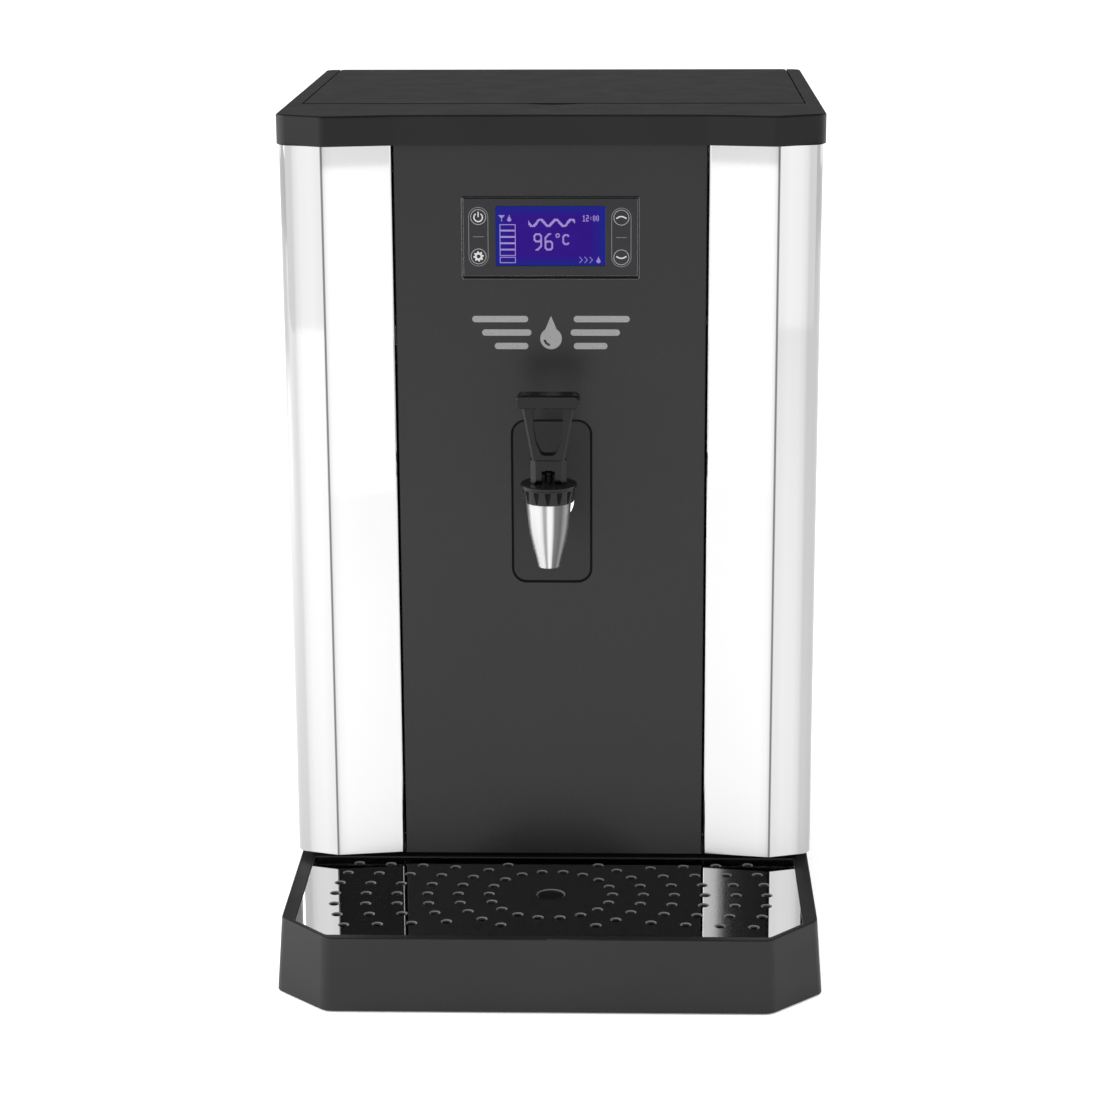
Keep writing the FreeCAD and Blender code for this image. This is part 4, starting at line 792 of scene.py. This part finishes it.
fm = Mat("studio_floor_mat", grey(0.93), 0.9)
fm.b.inputs["Specular IOR Level"].default_value = 0.05
fm.colour(fm.mix(fm.remap(fm.noise(1.2, 2.0), 0.3, 0.7, 0.0, 1.0), grey(0.92), grey(0.94)))
fm.b.inputs["Emission Color"].default_value = (1, 1, 1, 1)
fm.b.inputs["Emission Strength"].default_value = 0.2
N = 64
ring_xy = lambda r, n=N: [(r * math.cos(2 * math.pi * i / n), r * math.sin(2 * math.pi * i / n)) for i in range(n)]
vs = [(0.0, 0.0, 0.0)] + [(x, y, 0.0) for r in (1.0, 3.0, 6.2) for x, y in ring_xy(r)]
fs = [(0, 1 + i, 1 + (i + 1) % N) for i in range(N)]
fs += [(1 + k_ * N + i, 1 + (k_ + 1) * N + i, 1 + (k_ + 1) * N + (i + 1) % N, 1 + k_ * N + (i + 1) % N) for k_ in range(2) for i in range(N)]
floor = stage_mesh("studio_floor", vs, fs, fm.m)

# a pale dome all round lights the matt surfaces; the polished ones mirror the floor and the soft boxes instead
vs, fs = [], []
rows = 16
for j in range(rows + 1):
    e = math.radians(-2 + 92 * j / rows)
    vs += [(6.1 * math.cos(e) * c, 6.1 * math.cos(e) * s_, 6.1 * math.sin(e)) for c, s_ in ring_xy(1.0)]
for j in range(rows):
    fs += [(j * N + i, j * N + (i + 1) % N, (j + 1) * N + (i + 1) % N, (j + 1) * N + i) for i in range(N)]
dome = stage_mesh("studio_dome", vs, fs, glow("dome_mat", 1.18))
dome.visible_glossy = False
dome.visible_shadow = False


def area(name, loc, target, size, radiance, size_y=None, glossy=True):
    ld = bpy.data.lights.new(name, "AREA")
    ld.shape = "RECTANGLE"
    ld.size, ld.size_y = size, size_y or size
    ld.energy = radiance * math.pi * ld.size * ld.size_y
    ob = bpy.data.objects.new(name, ld)
    scene.collection.objects.link(ob)
    ob.location = loc
    ob.rotation_mode = "QUATERNION"
    ob.rotation_quaternion = (Vector(loc) - Vector(target)).to_track_quat("Z", "Y")
    ob.visible_camera = False
    ob.visible_glossy = glossy
    return ob


area("top_box", (0.0, -0.6, 2.9), (0.0, -0.4, 0.0), 3.6, 0.9, 3.6, False)
area("left_box", (-2.5, -1.5, 1.2), (0.0, -0.1, 0.3), 2.6, 2.1, 2.2)
area("left_key", (-2.0, 0.1, 0.9), (0.0, 0.0, 0.3), 0.9, 9.0, 0.9)
area("right_box", (2.7, -1.2, 1.5), (0.0, -0.1, 0.3), 2.2, 0.6, 1.6, False)
area("left_back_box", (-2.6, 1.9, 1.0), (0.0, 0.1, 0.3), 2.2, 0.8, 1.8)
area("right_back_box", (2.6, 1.6, 1.0), (0.0, 0.1, 0.3), 2.4, 0.8, 1.8)


def mirror_card(name, corners, mat):
    """A card seen only in reflections."""
    ob = stage_mesh(name, corners, [tuple(range(len(corners)))], mat)
    ob.visible_camera = ob.visible_diffuse = ob.visible_shadow = ob.visible_transmission = ob.visible_volume_scatter = False


def upright(x0, x1, y, z0, z1):
    return [(x0, y, z0), (x1, y, z0), (x1, y, z1), (x0, y, z1)]


# the pale wall behind the camera's foot, the dim wall behind the object, and a strip the plate finds by way of the right side panel
for i, (x0, x1) in enumerate(((-0.62, -0.02), (0.02, 0.5))):
    mirror_card(f"low_card_{i}", upright(x0, x1, -1.32, 0.0, 0.36), glow(f"low_card_mat_{i}", 1.93))
for s_ in (-1, 1):
    mirror_card(f"far_card_{s_ + 1}", [(s_ * 1.0, -2.45, 0.0), (s_ * 2.45, -1.0, 0.0), (s_ * 2.45, -1.0, 0.4), (s_ * 1.0, -2.45, 0.4)], glow(f"far_card_mat_{s_ + 1}", 1.84))
mirror_card("right_card", [(1.38, -2.3, 0.45), (2.05, -1.72, 0.45), (2.05, -1.72, 1.3), (1.38, -2.3, 1.3)], glow("right_card_mat", 2.15))
half = [(0.095, -0.092), (0.086, -0.125), (0.058, -0.16), (0.03, -0.212)]
mirror_card("shade_card", [(x, y, 0.03) for x, y in half] + [(-x, y, 0.03) for x, y in reversed(half)], glow("shade_card_mat", 0.0))
vs = [(6.05 * x, 6.05 * y, z) for z in (0.0, 0.5) for x, y in ring_xy(1.0)]
horizon = stage_mesh("horizon_card", vs, [(i, (i + 1) % N, N + (i + 1) % N, N + i) for i in range(N)], glow("horizon_mat", 1.75))
horizon.visible_camera = horizon.visible_diffuse = horizon.visible_shadow = horizon.visible_transmission = horizon.visible_volume_scatter = False
mirror_card("back_card", upright(-6.0, 6.0, 5.2, 0.0, 5.0), glow("back_card_mat", 0.26))
mirror_card("strip_card", upright(-1.5, -0.627, -2.6, 0.5, 2.2), glow("strip_mat", 1.5))

bpy.context.view_layer.update()
lo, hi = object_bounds()
